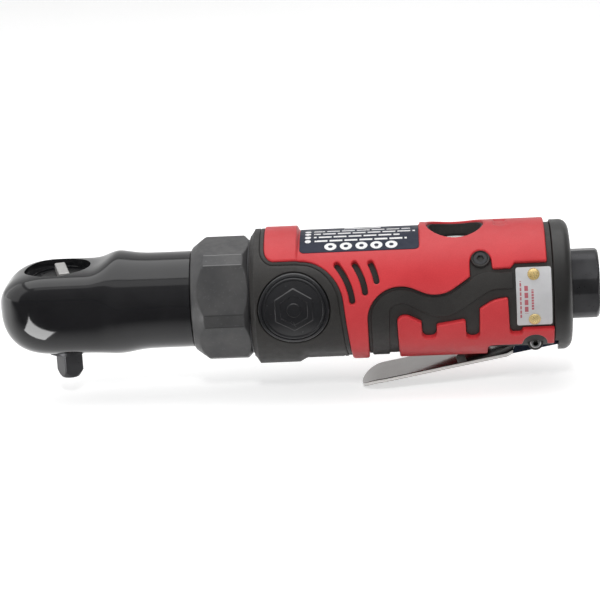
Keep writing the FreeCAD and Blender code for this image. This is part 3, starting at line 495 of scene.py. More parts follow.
def patina_steel():
    """Oiled dark steel of the clamp nut, faintly clouded, with fine turning marks and painted lines along
    the edges of the wide flats: painted highlight on the upper edges, painted shade on the lower ones.
    """
    made = Finish("nut_steel", Metallic=0.4)
    tint = made.mix(made.span(made.noise(0.12, 4), 0.3, 0.7), (0.06, 0.06, 0.062), (0.088, 0.087, 0.087))
    spots = made.span(made.noise(1.1, 5), 0.6, 0.75)
    worn = made.mix(made.times(spots, 0.3), tint, (0.17, 0.17, 0.18))
    x, _, z = made.parts(made.point)
    around = made.times(made.around(), 180 / pi)
    # painted lines on the edges of the wide flats, lighter with height: painted highlight above, painted
    # shade below
    folded = made.calc("PINGPONG", made.calc("ADD", around, 360 - NUT_TURN), 30.0)
    edge = made.calc("COMPARE", folded, NUT_EDGE, 0.45)
    edge = made.times(edge, made.calc("COMPARE", x, *NUT_EDGE_SPAN))
    edge_highlight_and_shade = made.mix(made.span(z, -1, 8), (0.018, 0.018, 0.018), (0.2, 0.2, 0.2))
    made.tone(made.times(edge, 0.75), worn, edge_highlight_and_shade)
    made.rough(made.noise(0.5, 5), 0.3, 0.7, 0.36, 0.48)
    made.soft_edges(0.07)
    made.bump(made.noise(2.2, 4, (1, 0.4, 0.4)), 0.004)
    return made.material


def lever_steel():
    """Dark polished sheet with faint drawing lines along the lever."""
    made = Finish("polished_steel", Metallic=1.0)
    made.tone(made.noise(0.1, 3), (0.2, 0.185, 0.18), (0.3, 0.28, 0.27))
    made.rough(made.noise(2.0, 4, (0.06, 1, 1)), 0.3, 0.7, 0.08, 0.16)
    made.bump(made.noise(2.5, 3, (0.05, 1, 1)), 0.0025)
    return made.material


def label_print():
    """Navy film with plain white bars, dots and rings, and no lettering."""
    made = Finish("label_navy", Specular_IOR_Level=0.25)
    x, y, z = made.parts(made.point)
    low, high = box_mm("label")
    along = made.calc("SUBTRACT", x, low.x)
    around = made.times(made.calc("ARCTAN2", y, made.calc("ADD", z, LABEL_DROP)), LABEL_SWEEP_R)
    length = high.x - low.x

    def stripe(value, start, end):
        return made.times(made.calc("GREATER_THAN", value, start), made.calc("LESS_THAN", value, end))

    def distance(across, up):
        return made.calc("SQRT", made.calc("MULTIPLY_ADD", across, across, made.times(up, up)))

    ink = made.times(stripe(along, 0.37 * length, 0.68 * length), stripe(around, 2.9, 4.7))
    for row, end in enumerate((0.93, 0.97, 0.84, 0.9)):
        place = 0.6 - 2.55 * row
        words = made.calc("SINE", made.calc("MULTIPLY_ADD", along, 2 * pi / 4.6, 1.7 * row))
        bar = made.times(stripe(along, 0.12 * length, end * length),
                         stripe(around, place - 0.5, place + 0.5))
        spot = distance(made.calc("SUBTRACT", along, 0.07 * length), made.calc("SUBTRACT", around, place))
        broken = made.times(bar, made.calc("GREATER_THAN", words, -0.9))
        ink = made.chain("MAXIMUM", ink, broken, made.calc("LESS_THAN", spot, 0.95))
    for share in (0.26, 0.39, 0.52, 0.645, 0.77):
        spot = distance(made.calc("SUBTRACT", along, share * length), made.calc("ADD", around, 10.3))
        ring = made.times(made.calc("LESS_THAN", spot, 1.85), made.calc("GREATER_THAN", spot, 0.7))
        ink = made.calc("MAXIMUM", ink, ring)
    worn = made.span(made.noise(1.4, 4), 0.28, 0.36)
    blue = made.mix(made.noise(0.12, 3), (0.008, 0.011, 0.024), (0.014, 0.019, 0.038))
    made.tone(made.times(ink, worn), blue, (0.72, 0.72, 0.72))
    made.rough(made.noise(0.6, 4), 0.3, 0.7, 0.4, 0.55)
    made.bump(ink, 0.01)
    made.bump(made.noise(0.5, 3), 0.02)
    return made.material


def etched_plate():
    """Brushed aluminium plate with etched generic bars."""
    made = Finish("plate_silver", Metallic=1.0)
    x = made.parts(made.point)[0]
    low, high = box_mm("nameplate")
    height = made.times(made.around(), GRIP_R)
    centre_z = (low.z + high.z) / 2
    marks = []
    for place, width, reach, gap in ((1.3, 0.5, 6.2, 1.5), (3.0, 1.1, 4.6, 2.3), (4.9, 0.7, 3.4, 0.9)):
        bar = made.calc("COMPARE", x, low.x + place, width / 2)
        within = made.calc("COMPARE", height, centre_z - 0.6, reach)
        dashes = made.calc("SINE", made.times(height, 2 * pi / gap))
        marks.append(made.times(bar, within, made.calc("GREATER_THAN", dashes, -0.75)))
    etch = made.chain("MAXIMUM", *marks)
    silver = made.mix(made.noise(0.3, 3), (0.5, 0.5, 0.51), (0.62, 0.62, 0.63))
    made.tone(made.times(etch, 0.9), silver, (0.32, 0.03, 0.05))
    made.set("Metallic", made.span(etch, 0, 1, 0.35, 0.0))
    made.rough(made.noise(2.5, 3, (1, 1, 0.05)), 0.3, 0.7, 0.42, 0.55)
    made.bump(made.noise(3.0, 3, (1, 1, 0.05)), 0.003)
    return made.material


def bar_and_disc():
    """Reverse knob: light satin bar that stands on a blackened disc."""
    made = Finish("knob_steel", Metallic=0.45, Roughness=0.42)
    z = made.parts(made.point)[2]
    made.soft_edges(0.15)
    height = made.calc("GREATER_THAN", z, DISC_TOP_Z)
    light = made.mix(made.noise(0.5, 4), (0.36, 0.355, 0.345), (0.5, 0.49, 0.48))
    made.tone(height, (0.012, 0.012, 0.012), light)
    made.bump(made.noise(3.0, 3, (1, 0.2, 1)), 0.004)
    return made.material


def felt_pad():
    made = Finish("felt", Roughness=0.95, Sheen_Weight=0.4)
    made.tone(made.noise(1.5, 5), (0.3, 0.29, 0.27), (0.5, 0.49, 0.46))
    made.bump(made.noise(2.5, 6), 0.1)
    return made.material


def cut_edge_steel():
    """Rough bright edge left by the shear."""
    made = Finish("cut_edge", Metallic=0.6, Roughness=0.4)
    made.tone(made.noise(1.2, 4, (1, 1, 3)), (0.5, 0.49, 0.47), (0.95, 0.94, 0.92))
    made.bump(made.noise(2.0, 4, (1, 1, 2)), 0.05)
    return made.material


# name, deep and pale colour, roughness, grains per mm, depth of the grain, coat
MOULDED = (
    ("red_plastic", (0.42, 0.016, 0.022), (0.54, 0.036, 0.042), 0.45, 5.0, 0.010, 0.08),
    ("black_rubber", (0.016, 0.015, 0.0145), (0.032, 0.03, 0.028), 0.56, 3.4, 0.020),
    ("black_plastic", (0.012, 0.012, 0.012), (0.024, 0.023, 0.022), 0.4, 4.5, 0.010),
    ("badge_black", (0.008, 0.008, 0.009), (0.014, 0.014, 0.016), 0.22, 6.0, 0.003, 0.6),
    ("vane_resin", (0.13, 0.07, 0.03), (0.22, 0.13, 0.06), 0.5, 3.0, 0.01),
    ("seal_rubber", (0.01, 0.01, 0.01), (0.02, 0.02, 0.02), 0.5, 2.5, 0.01),
)
# name, deep and pale colour, roughness, then what differs from the defaults of metal()
METALS = (
    ("brass", (0.62, 0.45, 0.18), (0.85, 0.68, 0.34), 0.3, (1, 1, 1), 0.004, 0.12, 0.55),
    ("black_steel", (0.028, 0.028, 0.03), (0.045, 0.045, 0.048), 0.33, (1, 1, 0.3), 0.002, 0.15, 0.6, 0.05),
    ("ground_steel", (0.36, 0.36, 0.37), (0.52, 0.52, 0.52), 0.3, (0.15, 1, 1)),
    ("spring_steel", (0.2, 0.2, 0.21), (0.34, 0.34, 0.34), 0.33),
    ("housing_alloy", (0.07, 0.07, 0.07), (0.13, 0.13, 0.128), 0.42, (0.3, 1, 1), 0.01),
    ("blued_steel", (0.012, 0.017, 0.03), (0.03, 0.04, 0.07), 0.3, (0.2, 1, 1), 0.003, 0.2, 0.9),
    ("satin_silver", (0.6, 0.6, 0.59), (0.8, 0.8, 0.78), 0.5, (1, 1, 1), 0.004, 0.3, 0.3),
)
FINISHES = {
    "head_black": head_enamel(),
    "nut_steel": patina_steel(),
    "label_navy": label_print(),
    "plate_silver": etched_plate(),
    "polished_steel": lever_steel(),
    "knob_steel": bar_and_disc(),
    "felt": felt_pad(),
    "cut_edge": cut_edge_steel(),
}
FINISHES |= {row[0]: moulded(*row) for row in MOULDED}
FINISHES |= {row[0]: metal(*row) for row in METALS}

# CAD nodes that look different from the rest of their slot
NODE_FINISHES = {"valve_plug": "satin_silver", "throttle_valve": "satin_silver",
                 "reverse_knob": "knob_steel", "cover_plate": "black_steel",
                 "retaining_ring": "black_steel", "thrust_washer": "black_steel",
                 "front_washer": "black_steel"}


def dress_nodes():
    """Give every CAD node the finish of its slot."""
    for entry in frame["record"]["subparts"]:
        finish = NODE_FINISHES.get(entry["node"], entry["material_slot"])
        for place in frame["nodes"][entry["node"]].material_slots:
            place.material = FINISHES[finish]


dress_nodes()


# ---- grip outlines on the unrolled cylinder
def unroll(z):
    """Side-view height on the grip to its place along the unrolled near side."""
    return GRIP_R * asin(max(-1.0, min(1.0, z / GRIP_R)))


def unrolled(outline):
    return [(x, unroll(z)) for x, z in outline]


def slot_height(half_width, radius):
    """Side-view height, on the reference radius, where a slot of this half width cuts a tube."""
    return -GRIP_R * sqrt(1 - (half_width / radius) ** 2)


def near_path(corners):
    """Open outline from side-view corners (x, z, radius), unrolled; the closing side is left out."""
    return unrolled(dense(rounded(corners), 0.5, closed=False))


def mirrored(path):
    return [(u, 2 * TOP - v) for u, v in reversed(path)]


def over_the_top(path):
    """Closed loop from a near-side path that starts and ends on the top line or on matching edges."""
    both = path + mirrored(path)
    loop = [both[0]]
    for point in both[1:]:
        if dist(point, loop[-1]) > 1e-6:
            loop.append(point)
    if dist(loop[0], loop[-1]) < 1e-6:
        loop.pop()
    return loop


def arc_slot(start, middle, end, width):
    """Closed loop round a curved slot through three side-view points."""
    (ax, ay), (bx, by), (cx, cy) = start, middle, end
    scale = 2 * (ax * (by - cy) + bx * (cy - ay) + cx * (ay - by))
    a2, b2, c2 = ax * ax + ay * ay, bx * bx + by * by, cx * cx + cy * cy
    ox = (a2 * (by - cy) + b2 * (cy - ay) + c2 * (ay - by)) / scale
    oy = (a2 * (cx - bx) + b2 * (ax - cx) + c2 * (bx - ax)) / scale
    radius = dist((ox, oy), start)
    first = atan2(ay - oy, ax - ox)
    last = atan2(cy - oy, cx - ox)
    loop = []
    half = width / 2
    steps = 14
    turn = 1 if last > first else -1
    for side, begin, finish in ((half, first, last), (-half, last, first)):
        for step in range(steps + 1):
            angle = begin + (finish - begin) * step / steps
            loop.append((ox + (radius + side) * cos(angle), oy + (radius + side) * sin(angle)))
        cap = (ox + radius * cos(finish), oy + radius * sin(finish))
        for step in range(1, 8):
            angle = finish + turn * pi * step / 8
            loop.append((cap[0] + side * cos(angle), cap[1] + side * sin(angle)))
    return unrolled(loop)


def window_loop():
    """Round opening in the top, straight down, where it meets the reference cylinder."""
    return [(VALVE_X + along, GRIP_R * acos(-across / GRIP_R)) for along, across in circle(96, WINDOW_R)]


SHELL_LOW, SHELL_HIGH = box_mm("grip_shell")
SLEEVE_LOW, SLEEVE_HIGH = box_mm("grip_sleeve")
VALVE_X = middle_mm("throttle_valve")[0]
EMBLEM_XZ = middle_mm("emblem")[::2]
EMBLEM_R = (box_mm("emblem")[1].x - box_mm("emblem")[0].x) / 2
SLEEVE_IN_R = 17.25
CORE_R = 18.9
FACE_R = 19.45
BAND_R = 20.0
SHELL_IN_R = 18.95
PAD_R = 21.5                       # raised front of the red shell
PAD_X1 = 74.4
LABEL_X1 = 111.8
WINDOW_R = 8.8
GROOVE_OFFSET = 1.35               # thin line round the black collar, inside its edge
GROOVE_DEPTH = 0.3
GROOVE_WIDTH = 0.13
GROOVE_ROWS = (1.08, 1.22, 1.35, 1.48, 1.62)
STRAP_FRONT = ((86.8, 15.1), (91.0, -30.0))
SLEEVE_SLOT_HALF = 8.9             # half width of the lever's slot underneath
SLEEVE_SLOT_X = 88.6               # front end of that slot
SHELL_SLOT_HALF = 9.7
SHELL_SLOT_Z = slot_height(SHELL_SLOT_HALF, GRIP_R)
SLEEVE_SLOT_Z = slot_height(SLEEVE_SLOT_HALF, FACE_R)
PLATE_BACK_R = 19.62
PLATE_FACE_R = 19.93
SCREW_ANGLE = 42.5                 # above the sides, degrees
RIVET_ANGLES = (26.3, -14.4)       # above the near side, degrees
RIVET_R = 1.84
RIVET_DOME = 0.93
BADGE_R = 20.75                    # crown of the round badges
COLLAR_FRONT_R = 18.6
COLLAR_REAR_R = 19.8
COLLAR_CHAMFER = 1.5
COLLAR_STEP = (73.4, 75.4)         # where the collar steps down
SHELL_NOTCH = (134.6, 138.8)       # shallow notch across the top line
NOTCH_HALF = 3.2
NOTCH_DEPTH = 0.55


def strap_front_x(z):
    (x0, z0), (x1, z1) = STRAP_FRONT
    return x0 + (x1 - x0) * (z - z0) / (z1 - z0)


# side-view corners (x, z, radius) shared by the red and the black parts
FRONT_EDGE = [(SHELL_LOW.x, GRIP_R, 0), (SHELL_LOW.x, 15.1, 3), (*STRAP_FRONT[0], 13)]
REAR_EDGE = [(SHELL_HIGH.x, 12.7, 0.3), (SHELL_HIGH.x, GRIP_R, 0)]
UPPER_WAVE = [(95.1, 12.6, 10.2), (117.0, 3.0, 10), (126.6, 9.2, 0.4), (126.7, 15.9, 3.1),
              (133.3, 15.9, 3.1), (133.4, 11.2, 0.6), (139.0, 11.3, 0.6), (140.3, 12.7, 0.6)]
LOWER_WAVE = [(142.3, -8.6, 0.5), (141.6, -10.1, 0.9), (138.3, -10.1, 1.5), (137.8, 2.6, 0.5),
              (133.3, 1.9, 9), (129.2, -0.8, 0.8), (129.0, -11.1, 1.9), (125.0, -11.1, 1.9),
              (124.8, -4.4, 0.7), (116.0, -5.9, 0.7), (115.9, -10.4, 1.9), (111.6, -10.4, 1.9),
              (111.4, -4.6, 0.5), (107.3, -2.1, 3.0), (104.0, -2.3, 2.2)]


# start, middle and end of each curved vent beside the label
VENTS = (((86.4, 13.6), (89.3, 9.0), (90.7, 3.2)), ((91.8, 13.7), (93.8, 9.9), (94.7, 5.8)),
         ((96.7, 13.7), (97.7, 11.4), (98.3, 9.0)))
VENT_WIDTH = 1.8


def smooth(value, start, end):
    share = np.clip((value - start) / (end - start), 0, 1)
    return share * share * (3 - 2 * share)


def on_tube(x, place, radius):
    angle = place / GRIP_R
    return np.stack([x, -radius * np.cos(angle), radius * np.sin(angle)], axis=1)


def straight_window(x, place, radius):
    """Turn points near the top window so that its wall runs straight down instead of to the axis."""
    angle = place / GRIP_R
    across = -GRIP_R * np.cos(angle)
    reach = np.hypot(x - VALVE_X, across)
    near = smooth(-reach, -WINDOW_R - 4, -WINDOW_R - 1)
    straight = np.arccos(np.clip(-across / radius, -1, 1))
    return (angle + (straight - angle) * near * (np.sin(angle) > 0.4)) * GRIP_R


def shell_radius(x, place):
    """Outer radius of the red shell: front pad, label recess and plain tube."""
    lift = np.sin(place / GRIP_R)
    lowered = -LABEL_DROP * lift + np.sqrt((LABEL_DROP * lift) ** 2 + LABEL_SWEEP_R ** 2 - LABEL_DROP ** 2)
    recess = smooth(x, PAD_X1 - 0.25, PAD_X1 + 0.35) * (1 - smooth(x, LABEL_X1 - 0.25, LABEL_X1 + 0.25))
    plain = GRIP_R - (GRIP_R - np.minimum(lowered, GRIP_R)) * recess
    pad = 1 - smooth(x, PAD_X1 - 0.6, PAD_X1)
    start, end = SHELL_NOTCH
    notch = smooth(x, start, start + 0.4) * (1 - smooth(x, end - 0.6, end))
    return plain + (PAD_R - GRIP_R) * pad - NOTCH_DEPTH * notch * (np.abs(place - TOP) < NOTCH_HALF)


def shell_surface(x, place, drop, floor):
    if floor:
        return on_tube(x, straight_window(x, place, SHELL_IN_R), np.full(len(x), SHELL_IN_R))
    return on_tube(x, place, shell_radius(x, place) - drop)


def fine_rows(places, low, high, step=0.8):
    """Extra mesh points along lines across the grip, where its radius changes quickly."""
    rows = []
    for x in places:
        rows.extend((x, v) for v in np.arange(low, high, step))
    return [rows]


def red_shell():
    strap = [(strap_front_x(SHELL_SLOT_Z), SHELL_SLOT_Z, 0.6), (95.1, SHELL_SLOT_Z, 0.6)]
    loops = [over_the_top(near_path(FRONT_EDGE + strap + UPPER_WAVE + REAR_EDGE)), window_loop()]
    for places in VENTS:
        slot = arc_slot(*places, VENT_WIDTH)
        loops += [slot, mirrored(slot)]
    steps_x = [PAD_X1 + 0.2 * step for step in range(-3, 3)]
    steps_x += [LABEL_X1 + 0.15 * step for step in range(-2, 3)]
    steps_x += [134.5, 134.8, 135.1, 138.1, 138.5, 138.9]
    piece = raised_patch("red_shell", loops, 1.1, 0.5, shell_surface, ["red_plastic"],
                         extra=fine_rows(steps_x, 4, 2 * TOP - 4))
    place_piece(piece, "grip_shell")


def side_panels():
    tab_x, skirt_x, skirt_z = SLEEVE_HIGH.x, 131.5, -14.4
    arch_x, arch_z, arch_r = 145.9, -14.3, 3.75
    corners = [(tab_x, -8.6, 0.3)] + LOWER_WAVE
    corners += [(104.4, SHELL_SLOT_Z, 0.6), (skirt_x, SHELL_SLOT_Z, 0.5), (skirt_x, skirt_z, 1.5)]
    for step in range(13):
        angle = pi * (1 - step / 12)
        corners.append((arch_x + arch_r * cos(angle), arch_z + arch_r * sin(angle), 0))
    corners += [(arch_x + arch_r, skirt_z, 0), (tab_x, skirt_z, 0.3)]
    outline = unrolled(dense(rounded(corners), 0.5))
    for side, loop in (("near", outline), ("far", mirrored(outline))):
        piece = raised_patch("red_panel_" + side, [loop], 1.1, 0.5, shell_surface, ["red_plastic"])
        place_piece(piece, "side_panel_" + side)


# ---- black sleeve
def collar_radius(x, place):
    """Raised collar with a chamfered front; it steps down behind the emblem, mostly underneath."""
    side = np.abs(np.cos(place / GRIP_R))
    rear = COLLAR_REAR_R + (GRIP_R - COLLAR_REAR_R) * smooth(side, 0.55, 0.85)
    step = smooth(x, *COLLAR_STEP)
    chamfered = np.clip((x - SLEEVE_LOW.x) / COLLAR_CHAMFER, 0, 1)
    chamfer = COLLAR_FRONT_R + (GRIP_R - COLLAR_FRONT_R) * chamfered
    return np.minimum(GRIP_R + (rear - GRIP_R) * step, chamfer)


def beside(loop, distances):
    """Rows of mesh points at the given distances on both sides of an outline."""
    ring = np.array(dense(loop, 0.6))
    tangent = np.roll(ring, -1, axis=0) - np.roll(ring, 1, axis=0)
    tangent /= np.maximum(np.linalg.norm(tangent, axis=1)[:, None], 1e-9)
    normal = np.stack([-tangent[:, 1], tangent[:, 0]], axis=1)
    return [ring + normal * distance * side for distance in distances for side in (-1, 1)]


def sleeve_plate(name, loops, outer, edge, spacing=1.2, extra=(), groove=False):
    """Part of the black sleeve as a closed plate that reaches into the core."""
    def surface(x, place, drop, floor):
        if floor:
            return on_tube(x, place, np.full(len(x), CORE_R - 0.3))
        radius = outer(x, place) - drop
        if groove:
            gap = edge_distance(np.stack([x, place], axis=1), loops[:1])
            radius -= GROOVE_DEPTH * np.exp(-((gap - GROOVE_OFFSET) / GROOVE_WIDTH) ** 2) * (x > 62.3)
        return on_tube(x, place, radius)
    return raised_patch(name, loops, spacing, edge, surface, ["black_rubber"], extra=extra)


def sleeve_core():
    slot_v = unroll(slot_height(SLEEVE_SLOT_HALF, CORE_R))
    path = [(SLEEVE_HIGH.x, slot_v), (SLEEVE_SLOT_X, slot_v), (SLEEVE_SLOT_X, -TOP), (SLEEVE_LOW.x, -TOP)]
    loop = path + mirrored(path)

    def surface(x, place, drop, floor):
        radius = SLEEVE_IN_R if floor else CORE_R
        return on_tube(x, straight_window(x, place, radius), np.full(len(x), radius))
    return raised_patch("core", [loop, window_loop()], 1.6, 0.05, surface,
                        ["black_rubber"])


def window_liner():
    """Tube that lines the top window, cut off along the curve of the grip."""
    inner, outer, rim = 8.15, WINDOW_R - 0.1, 20.2
    floor_z = box_mm("valve_plug")[1].z - 0.1
    rings = []
    for radius, level in ((outer, floor_z), (outer, rim - 0.15), (outer - 0.15, rim), (inner + 0.15, rim),
                          (inner, rim - 0.15), (inner, floor_z)):
        ring = []
        for along, across in circle(96, radius):
            top = level if level == floor_z else sqrt(level ** 2 - across ** 2)
            ring.append((VALVE_X + along, across, top))
        rings.append(ring)
    return ring_mesh("liner", rings, ["black_rubber"], loop=True)


def outwards(centre_x, degrees, side):
    """Place function for a piece turned about a radius of the grip, this far above one side."""
    angle = radians(degrees)
    outward = Vector((0, side * cos(angle), sin(angle)))
    along = Vector((0, -side * sin(angle), cos(angle)))
    return lambda a, b, height: outward * height + along * a + Vector((centre_x + b, 0, 0))


def screw_boss(side):
    """Raised ring round a grip screw, with a rounded rim."""
    profile = [(2.95, 18.2), (2.95, 20.1), (2.85, 20.35), (2.65, 20.45), (2.4, 20.4), (2.22, 20.2),
               (2.2, 19.9), (2.2, 18.2)]
    place = outwards(middle_mm("grip_screws")[0], SCREW_ANGLE, side)
    return lathe("boss", profile, place, ["black_rubber"], 48, loop=True)


def pin_boss(side):
    """Round boss that carries an end of the lever pin."""
    x, _, z = middle_mm("lever_pin")
    end = box_mm("lever_pin")[1].y
    profile = [(1.75, 8.0), (2.45, 8.0), (2.45, end - 0.75), (2.35, end - 0.55), (2.1, end - 0.5),
               (1.75, end - 0.5)]

    def place(a, b, height):
        return (x + a, side * height, z + b)
    return lathe("pin_boss", profile, place, ["black_rubber"], 48, loop=True)


def black_sleeve():
    tail_x = SLEEVE_HIGH.x
    zb = SLEEVE_SLOT_Z
    collar = [(strap_front_x(zb), zb, 0.3), (SLEEVE_SLOT_X, zb, 0), (SLEEVE_SLOT_X, -GRIP_R, 0),
              (SLEEVE_LOW.x, -GRIP_R, 0)]
    collar_loop = over_the_top(near_path(FRONT_EDGE + collar))
    pocket = unrolled(circle(96, EMBLEM_R + 0.3, EMBLEM_XZ))
    face_corners = [(tail_x, -8.6, 0)] + LOWER_WAVE + [(104.4, zb, 0), (95.1, zb, 0)] + UPPER_WAVE
    face_loop = over_the_top(near_path(face_corners + REAR_EDGE))
    band = rounded([(96.1, zb, 0), (96.1, 11.2, 9.3), (117.2, 2.1, 10.8), (129.6, 10.4, 9),
                    (139.6, 10.2, 0.3), (139.6, 5.1, 0.3), (133.2, 5.3, 8), (118.0, -4.8, 9),
                    (106.5, 2.0, 3.5), (101.9, 1.0, 2.5), (101.3, zb, 0)])
    band = unrolled(dense(band, 0.5))
    plates = [sleeve_core(),
              sleeve_plate("collar", [collar_loop, pocket, mirrored(pocket)], collar_radius, 0.35,
                           groove=True,
                           extra=fine_rows([59.8, 60.2, 60.6, 61.0, 61.4], -TOP + 0.5, 3 * TOP - 0.5)
                           + beside(collar_loop, GROOVE_ROWS)),
              sleeve_plate("face", [face_loop], lambda x, place: np.full(len(x), FACE_R), 0.25)]
    for loop in (band, mirrored(band)):
        plates.append(sleeve_plate("band", [loop], lambda x, place: np.full(len(x), BAND_R), 0.3,
                                   spacing=0.9))
    plates.append(window_liner())
    for side in (-1, 1):
        plates.append(screw_boss(side))
        plates.append(pin_boss(side))
    piece = join("black_sleeve", plates)
    place_piece(piece, "grip_sleeve")


# ---- badges of the grip
def round_badges():
    """Curved gloss badge on each side of the collar: rings round a plain hexagon."""
    steps = 108
    around = 144
    sides = []
    for side in (-1, 1):
        rings = []
        for index in range(steps, -1, -1):
            rings.append([])
            distance = max(EMBLEM_R * index / steps, 0.02)
            for angle in turns(around):
                x = EMBLEM_XZ[0] + distance * cos(angle)
                z = EMBLEM_XZ[1] + distance * sin(angle)
                hexagonal = distance / hexagon(angle)
                height = BADGE_R + 0.4 * float(smooth(distance, 8.75, 9.0))
                height -= 0.35 * float(smooth(distance, 9.45, 9.6) * (1 - smooth(distance, 9.8, 9.95)))
                height += 0.35 * float(smooth(hexagonal, 4.0, 4.2) * (1 - smooth(hexagonal, 5.6, 5.8)))
                height += 0.35 * float(1 - smooth(distance, 2.0, 2.2))
                height -= float(round_drop(EMBLEM_R - distance, 0.35))
                rings[-1].append((x, side * sqrt(height ** 2 - z ** 2), z))
        base = [(p[0], side * sqrt(19.4 ** 2 - p[2] ** 2), p[2]) for p in rings[0]]
        sides.append(ring_mesh("badge", [base] + rings, ["badge_black"], sharp=60))
    place_piece(join("round_badges", sides), "emblem")


def label_sheet():
    low, high = box_mm("label")
    half = LABEL_HALF_ANGLE / 180 * pi * LABEL_SWEEP_R - 0.4
    outline = rectangle(low.x, high.x, TOP - half, TOP + half, 1.5)

    def surface(x, place, drop, floor):
        angle = (place - TOP) / LABEL_SWEEP_R
        radius = LABEL_SWEEP_R + (0.01 if floor else 0.16) - (0 if floor else drop)
        return np.stack([x, radius * np.sin(angle), radius * np.cos(angle) - LABEL_DROP], axis=1)
    piece = raised_patch("label_film", [outline], 1.2, 0.08, surface, ["label_navy"])
    place_piece(piece, "label")


def data_plate():
    low, high = box_mm("nameplate")
    outline = rectangle(low.x, high.x, unroll(low.z), unroll(high.z), 0.8)

    def surface(x, place, drop, floor):
        return on_tube(x, place, np.full(len(x), PLATE_BACK_R) if floor else PLATE_FACE_R - drop)
    piece = raised_patch("data_plate", [outline], 0.8, 0.12, surface, ["plate_silver"])
    place_piece(piece, "nameplate")


def dome_rivets():
    """Brass drive rivets: a low dome over a small flange."""
    rivet_x = middle_mm("nameplate_rivets")[0]
    domes = []
    for degrees in RIVET_ANGLES:
        profile = [(0.8, 17.5), (0.8, 19.9), (1.72, 19.95), (RIVET_R, 20.0)]
        for step in range(11):
            turn = pi / 2 * step / 10
            profile.append((max(RIVET_R * cos(turn), 0.02), 20.02 + RIVET_DOME * sin(turn)))
        domes.append(lathe("rivet", profile, outwards(rivet_x, degrees, -1), ["brass"], 48, sharp=50))
    place_piece(join("dome_rivets", domes), "nameplate_rivets")


red_shell()
side_panels()
black_sleeve()
round_badges()
label_sheet()
data_plate()
dome_rivets()


# ---- head
HEAD_LOW, HEAD_HIGH = box_mm("head_housing")
NOSE_X = -19.9
NECK_R = 15.0
HEAD_HALF_WIDTH = 15.8
HEAD_TOP = 12.4
HEAD_BOTTOM = 14.9
TO_NECK = (8.5, 18.5)              # where the flat head turns round
SWELL_X = 17.5                     # thickest place behind the mechanism
SWELL = 1.1
SWELL_LENGTH = 5.5
DISH_R = 10.0
DISH_X = -1.85
DISH_FLOOR_Z = 9.6


def blend(first, second, share):
    return first + (second - first) * share


def head_ring(x, count):
    """Outline of the head across X: a squircle round the mechanism that turns round at the neck."""
    to_neck = smooth(x, *TO_NECK)
    bulge = SWELL * exp(-((x - SWELL_X) / SWELL_LENGTH) ** 2)
    nose = (1 - (x / NOSE_X) ** 3) ** (1 / 2.2) if x < 0 else 1.0
    width = blend(HEAD_HALF_WIDTH, NECK_R, smooth(x, 8, 28)) * nose + bulge * to_neck
    top = blend(HEAD_TOP, NECK_R, to_neck) * nose + bulge * to_neck
    bottom = blend(HEAD_BOTTOM, NECK_R, to_neck) * nose + bulge
    ring = []
    for angle in turns(count):
        upper = sin(angle) >= 0
        height = abs(sin(angle)) / (top if upper else bottom)
        power = blend(4.0 if upper else 2.6, 2.0, to_neck)
        reach = ((abs(cos(angle)) / width) ** power + height ** power) ** (-1 / power)
        ring.append((x, reach * cos(angle), reach * sin(angle)))
    return ring


def upright(x):
    def place(a, b, height):
        return (x + a, b, height)
    return place


def head():
    """Forged head and neck with the recess round the reverse bar and the bores inside."""
    stations = 150
    rings = []
    for step in range(stations + 1):
        share = step / stations
        x = HEAD_LOW.x + (HEAD_HIGH.x - HEAD_LOW.x) * share * blend(0.12, 1, share)
        rings.append(head_ring(x, 176))
    piece = ring_mesh("head_shell", rings, ["head_black"], sharp=50)
    dish = lathe("dish", [(DISH_R, DISH_FLOOR_Z), (DISH_R, 20)], upright(DISH_X), [])
    shaft = lathe("shaft", [(6.55, -20), (6.55, -4.6), (11.3, -4.6), (11.3, 4.6), (9.0, 4.6), (9.0, 8.0),
                            (9.6, 8.0), (9.6, 9.0), (9.0, 9.0), (9.0, 14)], upright(0), [])
    crank = lathe("crank", [(11.25, 10.0), (11.25, 20.6), (12.17, 20.6), (12.17, 45)], along_x, [])
    cut_away(piece, [dish, shaft, crank])
    place_piece(piece, "head_housing")


# ---- turned and milled hexagon parts
NUT_WIDE_FLAT = 17.5               # distances of the flats from the axis
NUT_NARROW_FLAT = 19.05
NUT_R = 19.4
INLET_FLAT = 10.5
INLET_R = 11.05
INLET_TURN = -19.5                 # direction of one flat of the inlet hexagon, degrees
INLET_X0 = 158.0


def faceted(name, slot, stations, facets, envelope, bore, node):
    """Polygonal nut about X: facets are (distance, angle) flats, envelope the turned outside and
    bore the inside, as (x, radius); the bore runs from rear to front."""
    around = 720
    crispness = 240.0
    rings = []
    for x in stations:
        ring = []
        turned = float(np.interp(x, *zip(*envelope)))
        for angle in turns(around):
            total = turned ** -crispness
            for distance, direction in facets:
                facing = cos(angle - direction)
                if facing > 0.3:
                    total += (distance / facing) ** -crispness
            reach = total ** (-1 / crispness)
            ring.append((x, -reach * cos(angle), reach * sin(angle)))
        rings.append(ring)
    for x, radius in bore:
        rings.append([(x, -a, b) for a, b in circle(around, radius)])
    place_piece(ring_mesh(name, rings, [slot], loop=True, sharp=45), node)


def clamp_nut():
    low, high = box_mm("clamp_nut")
    turn = radians(NUT_TURN)
    facets = []
    for index in range(6):
        facets.append((NUT_WIDE_FLAT, turn + index * pi / 3))
        facets.append((NUT_NARROW_FLAT, turn + (index + 0.5) * pi / 3))
    envelope = [(low.x, 15.7), (low.x + 0.25, 16.05), (45.6, NUT_R), (57.0, NUT_R), (high.x - 0.25, 17.7),
                (high.x, 17.4)]
    bore = [(high.x, 15.43), (49, 15.43), (49, 15.1), (43.3, 15.1), (43.3, 14.1), (low.x, 14.1)]
    stations = np.linspace(low.x, high.x, 65).tolist()
    faceted("ring_nut", "nut_steel", stations, facets, envelope, bore, "clamp_nut")


